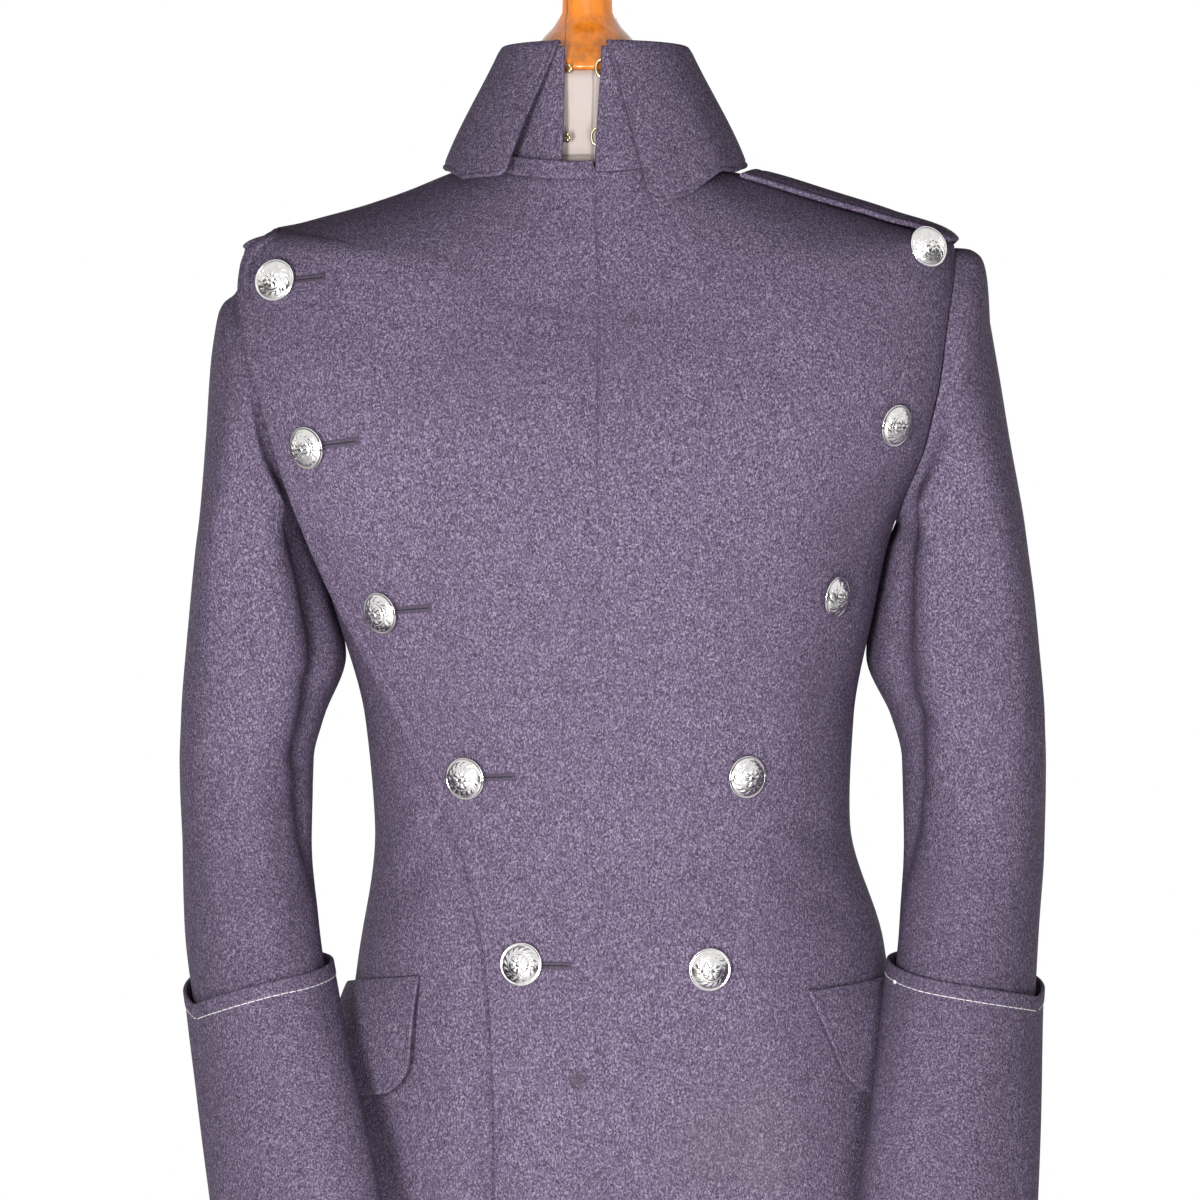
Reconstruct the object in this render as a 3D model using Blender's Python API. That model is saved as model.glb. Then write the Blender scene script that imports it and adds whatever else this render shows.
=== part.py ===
"""A double-breasted military greatcoat on a limbless dress form.

The wearer faces -Y and +X is the wearer's left. Z is up and the stand rests on z = 0.
The coat's cloth is cut from one skin: rings from hem to neck, read at an angle (0 at the wearer's left
side, -90 degrees in front, 90 degrees behind) and at a distance along the side from the hem.
Tables are in millimetres and degrees, and everything built from them is in metres.
"""

import math
from collections import namedtuple

import bmesh
import bpy
import numpy as np
from mathutils import Matrix, Vector

MM = 0.001

# Cloth and seams
BODY_CLOTH = 2.6 * MM
SLEEVE_CLOTH = 2.4 * MM
COLLAR_CLOTH = 3.0 * MM
FLAP_CLOTH = 2.8 * MM
SEAM_GAP = 0.25 * MM
LAYER_GAP = 0.8 * MM
OVERLAP_LIFT = BODY_CLOTH + LAYER_GAP

# ---------------------------------------------------------------- the coat's skin

# A ring's front and back sink below its sides by its falls. Its lean tips it towards the wearer's right.
Ring = namedtuple("Ring", "name height half_width front back shift square front_fall back_fall lean")
RINGS = (
    Ring("hem", 330, 256, 232, 248, 8, 2.00, 0, 0, 0),
    Ring("calf", 520, 228, 202, 218, 9, 2.05, 0, 0, 0),
    Ring("knee", 700, 201, 171, 188, 11, 2.10, 0, 0, 0),
    Ring("seat", 850, 181, 147, 163, 13, 2.15, 0, 0, 0),
    Ring("pocket", 940, 171, 137, 149, 14, 2.20, 0, 0, 0),
    Ring("hip", 985, 165, 132, 140, 14, 2.20, 0, 0, 0),
    Ring("waist", 1060, 150, 121, 121, 8, 2.20, 0, 0, 0),
    Ring("rib", 1125, 154, 126, 121, 6, 2.20, 0, 0, 0),
    Ring("breast", 1190, 169, 134, 126, 3, 2.25, 0, 0, 0),
    Ring("underarm", 1250, 186, 139, 130, 0, 2.35, 4, 0, 0),
    Ring("armpit", 1300, 210, 136, 130, 0, 2.70, 8, 4, 0.002),
    Ring("armhole", 1350, 222, 126, 127, 0, 3.00, 18, 8, 0.006),
    Ring("head", 1395, 226, 112, 119, 0, 2.90, 32, 13, 0.011),
    Ring("tip", 1421.5, 224, 105, 110, 0, 2.60, 45, 17, 0.0075),
    Ring("outer_slope", 1436, 183, 97.5, 104, 0, 2.40, 40, 10, 0.019),
    Ring("mid_slope", 1448.5, 142, 91, 94, -1, 2.20, 34, 2, 0.032),
    Ring("inner_slope", 1462.5, 103, 83, 80, -2, 2.10, 27, -8, 0.042),
    Ring("neck", 1478, 68, 75, 62, -3, 2.00, 16, -16, 0.025),
    Ring("above_neck", 1488, 65, 72, 60, -3, 2.00, 16, -16, 0.025),
)

Fold = namedtuple("Fold", "name angle spread depth start")
FOLDS = (
    Fold("left_front", -42, 17, 17, 900),
    Fold("left_side", -8, 14, 13, 860),
    Fold("left_back", 28, 15, 20, 930),
    Fold("left_inner_back", 60, 12, 13, 840),
    Fold("right_inner_back", 121, 13, 15, 820),
    Fold("right_back", 154, 15, 19, 940),
    Fold("right_side", -170, 13, 12, 880),
    Fold("right_front", -137, 16, 16, 870),
)


def smooth(knots, values, at):
    """A curve through the table's values that never swings past them, read at one or many places."""
    knots, values, at = (np.asarray(x, float) for x in (knots, values, at))
    step = np.diff(knots)
    slope = np.diff(values) / step
    tangent = np.zeros(len(knots))
    tangent[0], tangent[-1] = slope[0], slope[-1]
    for i in range(1, len(step)):
        if slope[i - 1] * slope[i] > 0:
            before, after = 2 * step[i] + step[i - 1], step[i] + 2 * step[i - 1]
            tangent[i] = (before + after) / (before / slope[i - 1] + after / slope[i])
    i = np.clip(np.searchsorted(knots, at, side="right") - 1, 0, len(step) - 1)
    t = np.clip((at - knots[i]) / step[i], 0, 1)
    rise = values[i + 1] - values[i]
    bend = t * (1 - t) * step[i]
    return values[i] + rise * t * t * (3 - 2 * t) + bend * ((1 - t) * tangent[i] - t * tangent[i + 1])


def column(table, name):
    return np.array([getattr(row, name) for row in table], float)


def ease(value, start, end):
    """0 before start, 1 after end, and a soft step between them. End may be below start."""
    t = np.clip((np.asarray(value, float) - start) / (end - start), 0, 1)
    return t * t * (3 - 2 * t)


RING_PATH = np.concatenate(
    [[0], np.cumsum(np.hypot(np.diff(column(RINGS, "height")), np.diff(column(RINGS, "half_width"))))]
)


def path_of(ring_name):
    """How far along the side a named ring lies from the hem, in millimetres."""
    return RING_PATH[[ring.name for ring in RINGS].index(ring_name)]


def fold_depth(angle, height):
    """How far the skirt's soft folds stand out, in millimetres."""
    depth = np.zeros(np.broadcast(angle, height).shape)
    for fold in FOLDS:
        away = (angle - fold.angle + 180) % 360 - 180
        growth = np.clip((fold.start - height) / (fold.start - RINGS[0].height), 0, 1) ** 1.4
        depth = depth + fold.depth * growth * np.exp(-((away / fold.spread) ** 2))
    return depth


def coat_surface(angle, path):
    """Points on the coat's skin, in metres."""
    angle, path = np.broadcast_arrays(np.asarray(angle, float), np.asarray(path, float))
    size = {name: smooth(RING_PATH, column(RINGS, name), path) for name in Ring._fields[1:]}
    turn = np.radians(angle)
    cosine, sine = np.cos(turn), np.sin(turn)
    depth = np.where(sine < 0, size["front"], size["back"])
    fall = np.where(sine < 0, size["front_fall"], size["back_fall"])
    power = size["square"]
    across = (np.abs(cosine) / size["half_width"]) ** power
    reach = (across + (np.abs(sine) / depth) ** power) ** (-1 / power)
    reach = reach + fold_depth(angle, size["height"])
    x = size["shift"] + reach * cosine
    return np.stack([x, reach * sine, size["height"] - fall * np.abs(sine) ** 1.6 + size["lean"] * x], -1) * MM


def unit(vectors):
    return vectors / np.linalg.norm(vectors, axis=-1, keepdims=True)


def coat_along(angle, path):
    """The direction up the skin, towards the neck."""
    return unit(coat_surface(angle, path + 0.2) - coat_surface(angle, path - 0.2))


def coat_normal(angle, path):
    around = coat_surface(angle + 0.05, path) - coat_surface(angle - 0.05, path)
    return unit(np.cross(around, coat_along(angle, path)))


def coat_skin(angle, path, out=0.0):
    """Points on the skin moved out of the coat by out metres."""
    out = np.asarray(out, float)
    return coat_surface(angle, path) + coat_normal(angle, path) * out[..., None]


# ---------------------------------------------------------------- lines drawn on the skin

UNDERARM, TIP, NECK = path_of("underarm"), path_of("tip"), path_of("neck")
ARMHOLE_REACH = 17  # degrees, from the side to the armhole's front and back edges at its widest

# The overlapping front's free edge and the covered front's edge: where each stands, seen from the front,
# and how far it stands off the layer below. The stiff cloth bridges the hollow beside the sleeve.
EdgePoint = namedtuple("EdgePoint", "height x lift")
LAPEL_EDGE = (
    EdgePoint(330, -66, 2.2),
    EdgePoint(880, -64, 2.2),
    EdgePoint(924, -66, 2.2),
    EdgePoint(974, -69, 2.2),
    EdgePoint(1006, -75, 2.2),
    EdgePoint(1040, -83, 2.2),
    EdgePoint(1066, -94, 2.4),
    EdgePoint(1101, -113, 3),
    EdgePoint(1136, -131, 5),
    EdgePoint(1176, -152, 9),
    EdgePoint(1215, -171, 15),
    EdgePoint(1263, -190, 21),
    EdgePoint(1313, -205, 19),
    EdgePoint(1342, -214, 16),
    EdgePoint(1369, -220.5, 13),
    EdgePoint(1395, -224, 9),
    EdgePoint(1410, -224, 6),
    EdgePoint(1424, -221, 4),
    EdgePoint(1440, -221, 2.2),
)
UNDERLAP_EDGE = (
    EdgePoint(330, 72, 0),
    EdgePoint(1340, 72, 0),
    EdgePoint(1400, 62, 0),
    EdgePoint(1464, 30, 0),
)


def armhole_angle(path):
    """Degrees from the side to the armhole's edge: an oval from the underarm to the shoulder tip."""
    share = np.clip((np.asarray(path, float) - UNDERARM) / (TIP - UNDERARM), 0, 1)
    return ARMHOLE_REACH * np.sqrt(4 * share * (1 - share))


def edge_lift(table, path):
    """How far an edge stands off, in metres."""
    height = smooth(RING_PATH, column(RINGS, "height"), path)
    return smooth(column(table, "height"), column(table, "lift"), height) * MM


def angle_where(place, path, low, high, lift=0.0):
    """The angle from low to high where each ring, moved out by lift, meets a line: x for each height."""
    low = np.full(np.shape(path), float(low))
    high = np.full(np.shape(path), float(high))
    for _ in range(30):
        middle = (low + high) / 2
        point = coat_skin(middle, path, lift) / MM
        before = point[..., 0] < place(point[..., 2])
        low, high = np.where(before, middle, low), np.where(before, high, middle)
    return (low + high) / 2


def edge_angle(table, path, low, high, out=0.0):
    heights, places = column(table, "height"), column(table, "x")
    lift = edge_lift(table, path) + out
    return angle_where(lambda height: smooth(heights, places, height), path, low, high, lift)


# ---------------------------------------------------------------- meshes

def material(name, colour, roughness, metallic=0.0):
    made = bpy.data.materials.new(name)
    made.use_nodes = True
    shader = made.node_tree.nodes["Principled BSDF"]
    shader.inputs["Base Color"].default_value = (*colour, 1)
    shader.inputs["Roughness"].default_value = roughness
    shader.inputs["Metallic"].default_value = metallic
    made.diffuse_color = (*colour, 1)
    return made


def object_of(name, mesh, look, parent):
    made = bpy.data.objects.new(name, mesh)
    bpy.context.scene.collection.objects.link(made)
    if not mesh.materials:
        mesh.materials.append(look)
    made.parent = parent
    return made


def mesh_from(name, points, faces, sharp_degrees=40):
    """A mesh whose faces all point out."""
    shape = bmesh.new()
    corners = [shape.verts.new(point) for point in points]
    for face in faces:
        shape.faces.new([corners[i] for i in face])
    bmesh.ops.recalc_face_normals(shape, faces=shape.faces)
    mesh = bpy.data.meshes.new(name)
    shape.to_mesh(mesh)
    shape.free()
    mesh.shade_smooth()
    mesh.set_sharp_from_angle(angle=math.radians(sharp_degrees))
    return mesh


def wall_mesh(name, outer, inner, closed=False):
    """The solid between two grids of points, rows by columns. A closed grid's columns run all round."""
    rows, columns = outer.shape[:2]
    count = rows * columns
    points = np.concatenate([outer.reshape(-1, 3), inner.reshape(-1, 3)])
    spans = columns if closed else columns - 1

    def at(row, col):
        return row * columns + col % columns

    quads = []
    for row in range(rows - 1):
        for col in range(spans):
            quad = [at(row, col), at(row, col + 1), at(row + 1, col + 1), at(row + 1, col)]
            quads += [quad, [count + i for i in quad]]
    rims = [(row, col, row, col + 1) for row in (0, rows - 1) for col in range(spans)]
    if not closed:
        rims += [(row, col, row + 1, col) for col in (0, columns - 1) for row in range(rows - 1)]
    for first_row, first_col, last_row, last_col in rims:
        a, b = at(first_row, first_col), at(last_row, last_col)
        quads.append([a, b, count + b, count + a])
    faces = [corners for a, b, c, d in quads for corners in ((a, b, c), (a, c, d))]
    return mesh_from(name, points, faces)


def turned_mesh(name, profile, steps, oval=1.0):
    """A solid of revolution about Z from (radius, height) pairs in millimetres, bottom to top."""
    points, faces, rings = [], [], []
    for radius, height in profile:
        ring = []
        for step in range(steps):
            turn = 2 * math.pi * step / steps
            ring.append(len(points))
            x, y = radius * math.cos(turn), oval * radius * math.sin(turn)
            points.append((x * MM, y * MM, height * MM))
        rings.append(ring)
    for low, high in zip(rings, rings[1:]):
        for i in range(steps):
            j = (i + 1) % steps
            faces.append([low[i], low[j], high[j], high[i]])
    faces += [rings[0][::-1], rings[-1]]
    return mesh_from(name, points, faces)


def grid_normals(points, closed):
    """Unit normals of a grid, from the differences between neighbours."""
    down = np.gradient(points, axis=0)
    if closed:
        along = np.roll(points, -1, axis=1) - np.roll(points, 1, axis=1)
    else:
        along = np.gradient(points, axis=1)
    return unit(np.cross(along, down))


# ---------------------------------------------------------------- fronts and backs

SKIRT_ROWS, WAIST_ROWS, ARMHOLE_ROWS, SHOULDER_ROWS = 6, 5, 7, 5


def spread(start, end, count):
    return np.linspace(start, end, count + 1)[:-1]


PANEL_ROWS = np.concatenate([
    spread(0, path_of("hip"), SKIRT_ROWS),
    spread(path_of("hip"), UNDERARM, WAIST_ROWS),
    spread(UNDERARM, TIP, ARMHOLE_ROWS),
    spread(TIP, NECK, SHOULDER_ROWS),
    [NECK],
])
LAPEL = edge_angle(LAPEL_EDGE, PANEL_ROWS, -180, -90, OVERLAP_LIFT)
UNDERLAP = edge_angle(UNDERLAP_EDGE, PANEL_ROWS, -90, 0)
FAR_SIDE = -180 + armhole_angle(PANEL_ROWS)
CENTRE = np.full(len(PANEL_ROWS), -90.0)
EDGE_BAND = 12
BRIDGE = 26  # degrees of the overlap, beside its free edge, that rise to the edge's lift
# Lines down the fronts that both layers share, so that one lies evenly on the other.
BAND_LINE = np.maximum(LAPEL, FAR_SIDE) + EDGE_BAND


def inset(angle, path, way, gap=SEAM_GAP):
    """An edge's angle drawn back from its seam by a gap. Way is 1 towards larger angles."""
    reach = np.linalg.norm(coat_surface(angle, path)[..., :2], axis=-1)
    return angle + way * np.degrees(gap / reach)


def panel_grid(*lines):
    """Angles and paths of a panel's points, from lines of angles and the columns between each pair."""
    angles = [lines[0][:, None]]
    for first, columns, last in zip(lines[::2], lines[1::2], lines[2::2]):
        across = np.linspace(0, 1, columns + 1)[1:]
        angles.append(first[:, None] + (last - first)[:, None] * across)
    angles = np.concatenate(angles, axis=1)
    return angles, np.repeat(PANEL_ROWS[:, None], angles.shape[1], axis=1)


def panel(name, angles, paths, out, look, parent):
    outer = coat_skin(angles, paths, out)
    inner = coat_skin(angles, paths, out - BODY_CLOTH)
    return object_of(name, wall_mesh(name, outer, inner), look, parent)


TOP_EDGE_RISE = 8  # the overlap's free top edge stands this far above the neck seam


def overlap_out(angle, path):
    """How far outside the skin the overlapping front lies: over the covered front and off its edge."""
    angle, path = np.broadcast_arrays(angle, path)
    underlap, lapel = (np.interp(path, PANEL_ROWS, line) for line in (UNDERLAP, LAPEL))
    over_front = OVERLAP_LIFT * ease(angle - underlap, 34, 14)
    return over_front + edge_lift(LAPEL_EDGE, path) * ease(angle - lapel, BRIDGE, 0)


def panel_lines():
    """Each panel's lines and the columns between them, in the order panel_grid reads them."""
    side = armhole_angle(PANEL_ROWS)
    shared = (BAND_LINE, 5, CENTRE - 3, 1, CENTRE, 2, UNDERLAP)
    return {
        "front_left": (LAPEL, 3, *shared, 6, inset(-side, PANEL_ROWS, -1)),
        "front_right": (inset(FAR_SIDE, PANEL_ROWS, 1), 5, *shared),
        "back_left": (inset(side, PANEL_ROWS, 1), 8, inset(-CENTRE, PANEL_ROWS, -1)),
        "back_right": (inset(-CENTRE, PANEL_ROWS, 1), 8, inset(180 - side, PANEL_ROWS, -1)),
    }


def build_panels(look, parent):
    for name, lines in panel_lines().items():
        angles, paths = panel_grid(*lines)
        out = np.zeros(angles.shape)
        if name == "front_left":
            paths[-1] += TOP_EDGE_RISE * (angles[-1] < -91)
            out = overlap_out(angles, paths)
        panel(name, angles, paths, out, look, parent)


# ---------------------------------------------------------------- sleeves and cuffs

# Seen from the front, a sleeve's two edges; seen from the side, its middle and half its depth.
Station = namedtuple("Station", "height outer inner y deep yaw")
SLEEVES = {
    "left": (
        Station(1390, 244, 164, 3, 64, 0),
        Station(1350, 251, 168, 3, 68, 0),
        Station(1300, 259, 178, 3, 72, -2),
        Station(1250, 267, 186, 4, 75, -6),
        Station(1232, 269, 181.5, 4, 77, -9),
        Station(1200, 273, 174.5, 3, 77, -13),
        Station(1165, 276, 169.5, 0, 77, -16),
        Station(1125, 279, 185, -5, 75, -9),
        Station(1100, 280, 191, -9, 73, -3),
        Station(1050, 279, 190, -24, 70, 6),
        Station(1000, 274, 185, -50, 68, 14),
        Station(950, 268, 177, -82, 66, 21),
        Station(900, 262, 170, -115, 64, 27),
        Station(860, 258, 164, -140, 63, 31),
        Station(812, 253, 157, -166, 62, 34),
    ),
    "right": (
        Station(1390, 240, 164, 3, 64, 0),
        Station(1350, 246, 168, 3, 68, 0),
        Station(1300, 249, 178, 3, 72, -2),
        Station(1250, 252, 186, 4, 75, -6),
        Station(1232, 254, 180.5, 4, 77, -8),
        Station(1200, 257, 170, 3, 77, -11),
        Station(1165, 260, 161.5, 0, 76, -13),
        Station(1125, 263, 175, -5, 74, -7),
        Station(1100, 264, 181, -9, 72, -2),
        Station(1050, 262, 180, -26, 70, 6),
        Station(1000, 259, 173, -54, 68, 15),
        Station(950, 250, 162, -88, 66, 23),
        Station(900, 239, 150, -122, 64, 30),
        Station(860, 231, 140, -148, 63, 34),
        Station(812, 221, 129, -175, 62, 37),
    ),
}
SIDE = {"left": 1, "right": -1}
# The sleeve head's profile over the shoulder tip: each row's share of the way out and of the way down.
Crown = namedtuple("Crown", "out down")
CROWNS = {
    "left": (Crown(0, 0), Crown(0.42, 0.02), Crown(0.74, 0.11), Crown(0.88, 0.30), Crown(0.95, 0.58)),
    "right": (Crown(0, 0), Crown(0.08, 0.34), Crown(0.33, 0.58), Crown(0.72, 0.71), Crown(0.92, 0.86)),
}
CAP_SHARES = (0, 0.16, 0.36, 0.58, 0.8)
CROWN_FOOT, UNDERARM_FOOT = 1376, 1234  # the cap's lower heights at the sleeve's outer and inner edges
HEM_TILT = 9  # the hem's front stands this far above its middle
ARM_ROWS = 10
SLEEVE_COLUMNS = 16


def armhole_loop(side):
    """Points, normals and turns spread round the panels' armhole edge: tip, front, underarm, back."""
    down = PANEL_ROWS[(PANEL_ROWS >= UNDERARM) & (PANEL_ROWS <= TIP)][::-1]
    angle = armhole_angle(down)
    angles = np.concatenate([-angle, angle[-2::-1]])
    if side == "right":
        angles = 180 - angles
    paths = np.concatenate([down, down[-2::-1]])
    corners, normals = coat_surface(angles, paths), coat_normal(angles, paths)
    half = len(down)
    turns = []
    for part in (slice(0, half), slice(half - 1, None)):
        along = np.concatenate([[0], np.cumsum(np.linalg.norm(np.diff(corners[part], axis=0), axis=1))])
        turns.append(180 * (along / along[-1] + len(turns)))
    corner_turns = np.concatenate([turns[0], turns[1][1:]])
    turns = 360 * np.arange(SLEEVE_COLUMNS) / SLEEVE_COLUMNS
    points, normals = (
        np.stack([np.interp(turns, corner_turns, of_corners[:, i]) for i in range(3)], -1)
        for of_corners in (corners, normals)
    )
    return points, unit(normals), np.radians(turns)


# The crease down the sleeve's front, by its inner edge: its turn and width in degrees and how far it stands
# out, and the heights between which it fades in from above and out below
RIDGE_TURN, RIDGE_WIDTH, RIDGE_OUT = 135, 20, 12
RIDGE_HEIGHTS = (1310, 1250, 1150, 1070)


def sleeve_ridge(height, turn):
    start, full, fading, end = RIDGE_HEIGHTS
    along = ease(height, start, full) * ease(height, end, fading)
    return RIDGE_OUT * along * np.exp(-(((np.degrees(turn) - RIDGE_TURN) / RIDGE_WIDTH) ** 2))


def arm_points(side, height, turn, out=0.0):
    """Points on a hanging sleeve: turn 0 is its outer edge, 90 degrees its front, 180 its inner edge."""
    table = SLEEVES[side]
    knots = -column(table, "height")
    height, turn, out = np.broadcast_arrays(height, turn, np.asarray(out) / MM)
    names = Station._fields[1:]
    outer, inner, y, deep, yaw = (smooth(knots, column(table, name), -height) for name in names)
    yaw = np.radians(yaw)
    out = out + sleeve_ridge(height, turn)
    half = (outer - inner) / 2
    thin = np.sqrt(half**2 - (deep * np.sin(yaw)) ** 2) / np.cos(yaw)
    across, along = (thin + out) * np.cos(turn), (deep + out) * np.sin(turn)
    x = (outer + inner) / 2 + across * np.cos(yaw) - along * np.sin(yaw)
    back = y - across * np.sin(yaw) - along * np.cos(yaw)
    return np.stack([SIDE[side] * x, back, height], -1) * MM


def hermite(start, end, leave, arrive, share):
    t = np.asarray(share)[:, None, None]
    return (
        start * (2 * t**3 - 3 * t**2 + 1)
        + leave * (t**3 - 2 * t**2 + t)
        + end * (3 * t**2 - 2 * t**3)
        + arrive * (t**3 - t**2)
    )


def sleeve_hem(side, turn):
    """Height of the hem round the wrist: square to the forearm, so it is higher in front."""
    return SLEEVES[side][-1].height + HEM_TILT * np.sin(turn)


def sleeve_grid(side):
    """The sleeve's outer points from the armhole to the hem."""
    loop, normal, turn = armhole_loop(side)
    loop = loop + unit(loop.mean(axis=0) - loop) * 2 * SEAM_GAP
    crown = (1 + np.cos(turn)) / 2
    foot = UNDERARM_FOOT + (CROWN_FOOT - UNDERARM_FOOT) * crown
    first = arm_points(side, foot, turn)
    hang = first - arm_points(side, foot + 5, turn)
    length = np.linalg.norm(first - loop, axis=1, keepdims=True)
    leave = (normal * 0.5 + [SIDE[side] * 0.5, 0, -0.4]) * length
    cap = hermite(loop, first, leave, unit(hang) * length * 0.9, CAP_SHARES)
    over = np.array([(row.out, row.out, row.down) for row in CROWNS[side]])
    share = (crown**2)[None, :, None]
    cap = cap * (1 - share) + (loop + (first - loop) * over[:, None]) * share
    hem = sleeve_hem(side, turn) + 2
    heights = foot + (hem - foot) * np.linspace(0, 1, ARM_ROWS)[:, None]
    return np.concatenate([cap, arm_points(side, heights, turn[None, :])])


def outward_normals(points):
    """Normals of a tube's points, turned away from its middle line."""
    normals = grid_normals(points, closed=True)
    away = points - points.mean(axis=1, keepdims=True)
    return normals * np.sign(np.sum(normals * away))


def build_sleeve(side, look, parent):
    outer = sleeve_grid(side)
    inner = outer - outward_normals(outer) * SLEEVE_CLOTH
    name = "sleeve_" + side
    object_of(name, wall_mesh(name, outer, inner, closed=True), look, parent)


# Heights of a cuff's top edge at its outer edge, front, inner edge and back
CuffTop = namedtuple("CuffTop", "outer front inner back")
CUFF_TOPS = {"left": CuffTop(958, 972, 981, 972), "right": CuffTop(954, 974, 981, 972)}
# Share of the way down the cuff, and how far its outer face stands off the sleeve's
CUFF_STANDOFF = ((0, 5.4), (0.12, 5.6), (0.5, 7.5), (1.0, 9.0))
CUFF_ROWS, CUFF_COLUMNS = 4, 20


def build_cuff(side, look, parent):
    """The deep turned-back cuff, slanting up towards the inner edge."""
    tops = CUFF_TOPS[side]
    turn = np.linspace(0, 2 * np.pi, CUFF_COLUMNS, endpoint=False)
    top = smooth(np.arange(5) * np.pi / 2, [*tops, tops.outer], turn)
    hem = sleeve_hem(side, turn)
    share = np.linspace(0, 1, CUFF_ROWS + 1)[:, None]
    shares, distances = zip(*CUFF_STANDOFF)
    out = smooth(shares, distances, share) * MM
    height = top + (hem - top) * share
    outer = arm_points(side, height, turn, out)
    inner = arm_points(side, height, turn, out - SLEEVE_CLOTH)
    name = "cuff_" + side
    object_of(name, wall_mesh(name, outer, inner, closed=True), look, parent)


# ---------------------------------------------------------------- collar

COLLAR_CENTRE = -3
COLLAR_GAP = (0.8, -23.5)  # x of the stand's left and right front edges at the fold
STAND_END = 253  # the angle of its right front edge at the neck seam
FOLD_HALF_WIDTH, FOLD_FRONT, FOLD_BACK = 56.0, 56.0, 58.0
FOLD_HEIGHT, FOLD_TILT = 1546, 2.3  # its height at the sides, and how much higher it is behind
STAND_FOOT = 9  # the stand follows the skin this far up from its seam
STAND_ROWS = 3
FALL_ROWS, FALL_COLUMNS = 5, 22


def collar_ring(angle, half_width, front, back, height):
    """Points of an oval ring about the neck, in metres."""
    turn = np.radians(angle)
    depth = np.where(np.sin(turn) < 0, front, back)
    reach = 1 / np.hypot(np.cos(turn) / half_width, np.sin(turn) / depth)
    x, y = COLLAR_CENTRE + reach * np.cos(turn), reach * np.sin(turn)
    return np.stack(np.broadcast_arrays(x, y, height), -1) * MM


def fold_ring(angle, out=0.0, rise=0.0):
    height = FOLD_HEIGHT + FOLD_TILT * np.sin(np.radians(angle)) + rise
    return collar_ring(angle, FOLD_HALF_WIDTH + out, FOLD_FRONT + out, FOLD_BACK + out, height)


def front_angle(x, front):
    """The angle, from -180 to 0, where a collar ring's front stands at x."""
    return -90 + math.degrees(math.atan2(x - COLLAR_CENTRE, front))


def stand_angles():
    """The stand's columns at its foot, on the panels' own, and at the fold, from left to right."""
    tops = np.concatenate([panel_grid(*lines)[0][-1] for lines in panel_lines().values()])
    foot = [-90.0]
    for angle in np.sort(np.where(tops < -90, tops + 360, tops)):
        if foot[-1] + 5 < angle <= STAND_END:
            foot.append(angle)
    first, last = (front_angle(x, FOLD_FRONT) for x in COLLAR_GAP)
    foot = np.array(foot)
    return foot, first + (last + 360 - first) * (foot + 90) / (foot[-1] + 90)


def stand_out(angle):
    """How far the neck seam lies outside the skin: on the left the stand is sewn to the overlap."""
    on_overlap = (angle > -91) & (angle < 0)
    return np.where(on_overlap, overlap_out(angle, NECK), 0.0)


def stand_walls():
    """Outer and inner points of the stand, from its neck seam up to the fold."""
    angle, fold_angle = ((angle + 180) % 360 - 180 for angle in stand_angles())
    out = stand_out(angle)
    foot = [coat_skin(angle, np.full_like(angle, NECK + up), out) for up in (0.3, STAND_FOOT)]
    top = fold_ring(fold_angle)
    rise = np.linalg.norm(top - foot[1], axis=1, keepdims=True)
    leave = unit(foot[1] - foot[0]) * rise * 0.7
    arrive = np.array([0, 0, 0.8]) * rise
    upper = hermite(foot[1], top, leave, arrive, np.linspace(0, 1, STAND_ROWS + 1)[1:])
    outer = np.concatenate([np.array(foot), upper])
    normals = grid_normals(outer, closed=False)
    normals *= np.sign(np.sum(normals * (outer - outer.mean(axis=1, keepdims=True))))
    normals[:2] = coat_normal(angle, np.full_like(angle, NECK))
    return outer, outer - normals * COLLAR_CLOTH


# The leaf's turn over the stand's top: how far outside the stand and above the fold each row lies.
FallRow = namedtuple("FallRow", "out rise")
FALL_TOP = (FallRow(-1.6, 3.6), FallRow(2.4, 3.2), FallRow(5.6, -0.8))
LeafEdge = namedtuple("LeafEdge", "angle height")
LEAF_EDGE = (
    LeafEdge(-180, 1462),
    LeafEdge(-125, 1461),
    LeafEdge(-95, 1452),
    LeafEdge(-68, 1444),
    LeafEdge(-50, 1451),
    LeafEdge(-20, 1466),
    LeafEdge(0, 1470),
    LeafEdge(60, 1474),
    LeafEdge(120, 1472),
    LeafEdge(180, 1462),
)
LEAF_HALF_WIDTH, LEAF_FRONT, LEAF_BACK = 96.5, 99.0, 88.0
# The leaf's edge lies at least this far above the shoulder's skin
LEAF_CLEARANCE = {"left": 5, "right": 12}
LEAF_TOPS = (4.5, -28.5)  # x of the leaf's left and right front edges at the fold
LEAF_TIPS = (33.5, -73)  # x of its left and right points


def shoulder_height(angle, points):
    """Height of the shoulder's skin straight below points round the neck, in millimetres."""
    reach = np.linalg.norm(points[..., :2], axis=-1)
    low, high = np.full(angle.shape, TIP), np.full(angle.shape, NECK)
    for _ in range(30):
        middle = (low + high) / 2
        wider = np.linalg.norm(coat_surface(angle, middle)[..., :2], axis=-1) > reach
        low, high = np.where(wider, middle, low), np.where(wider, high, middle)
    return coat_surface(angle, low)[..., 2] / MM


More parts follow.
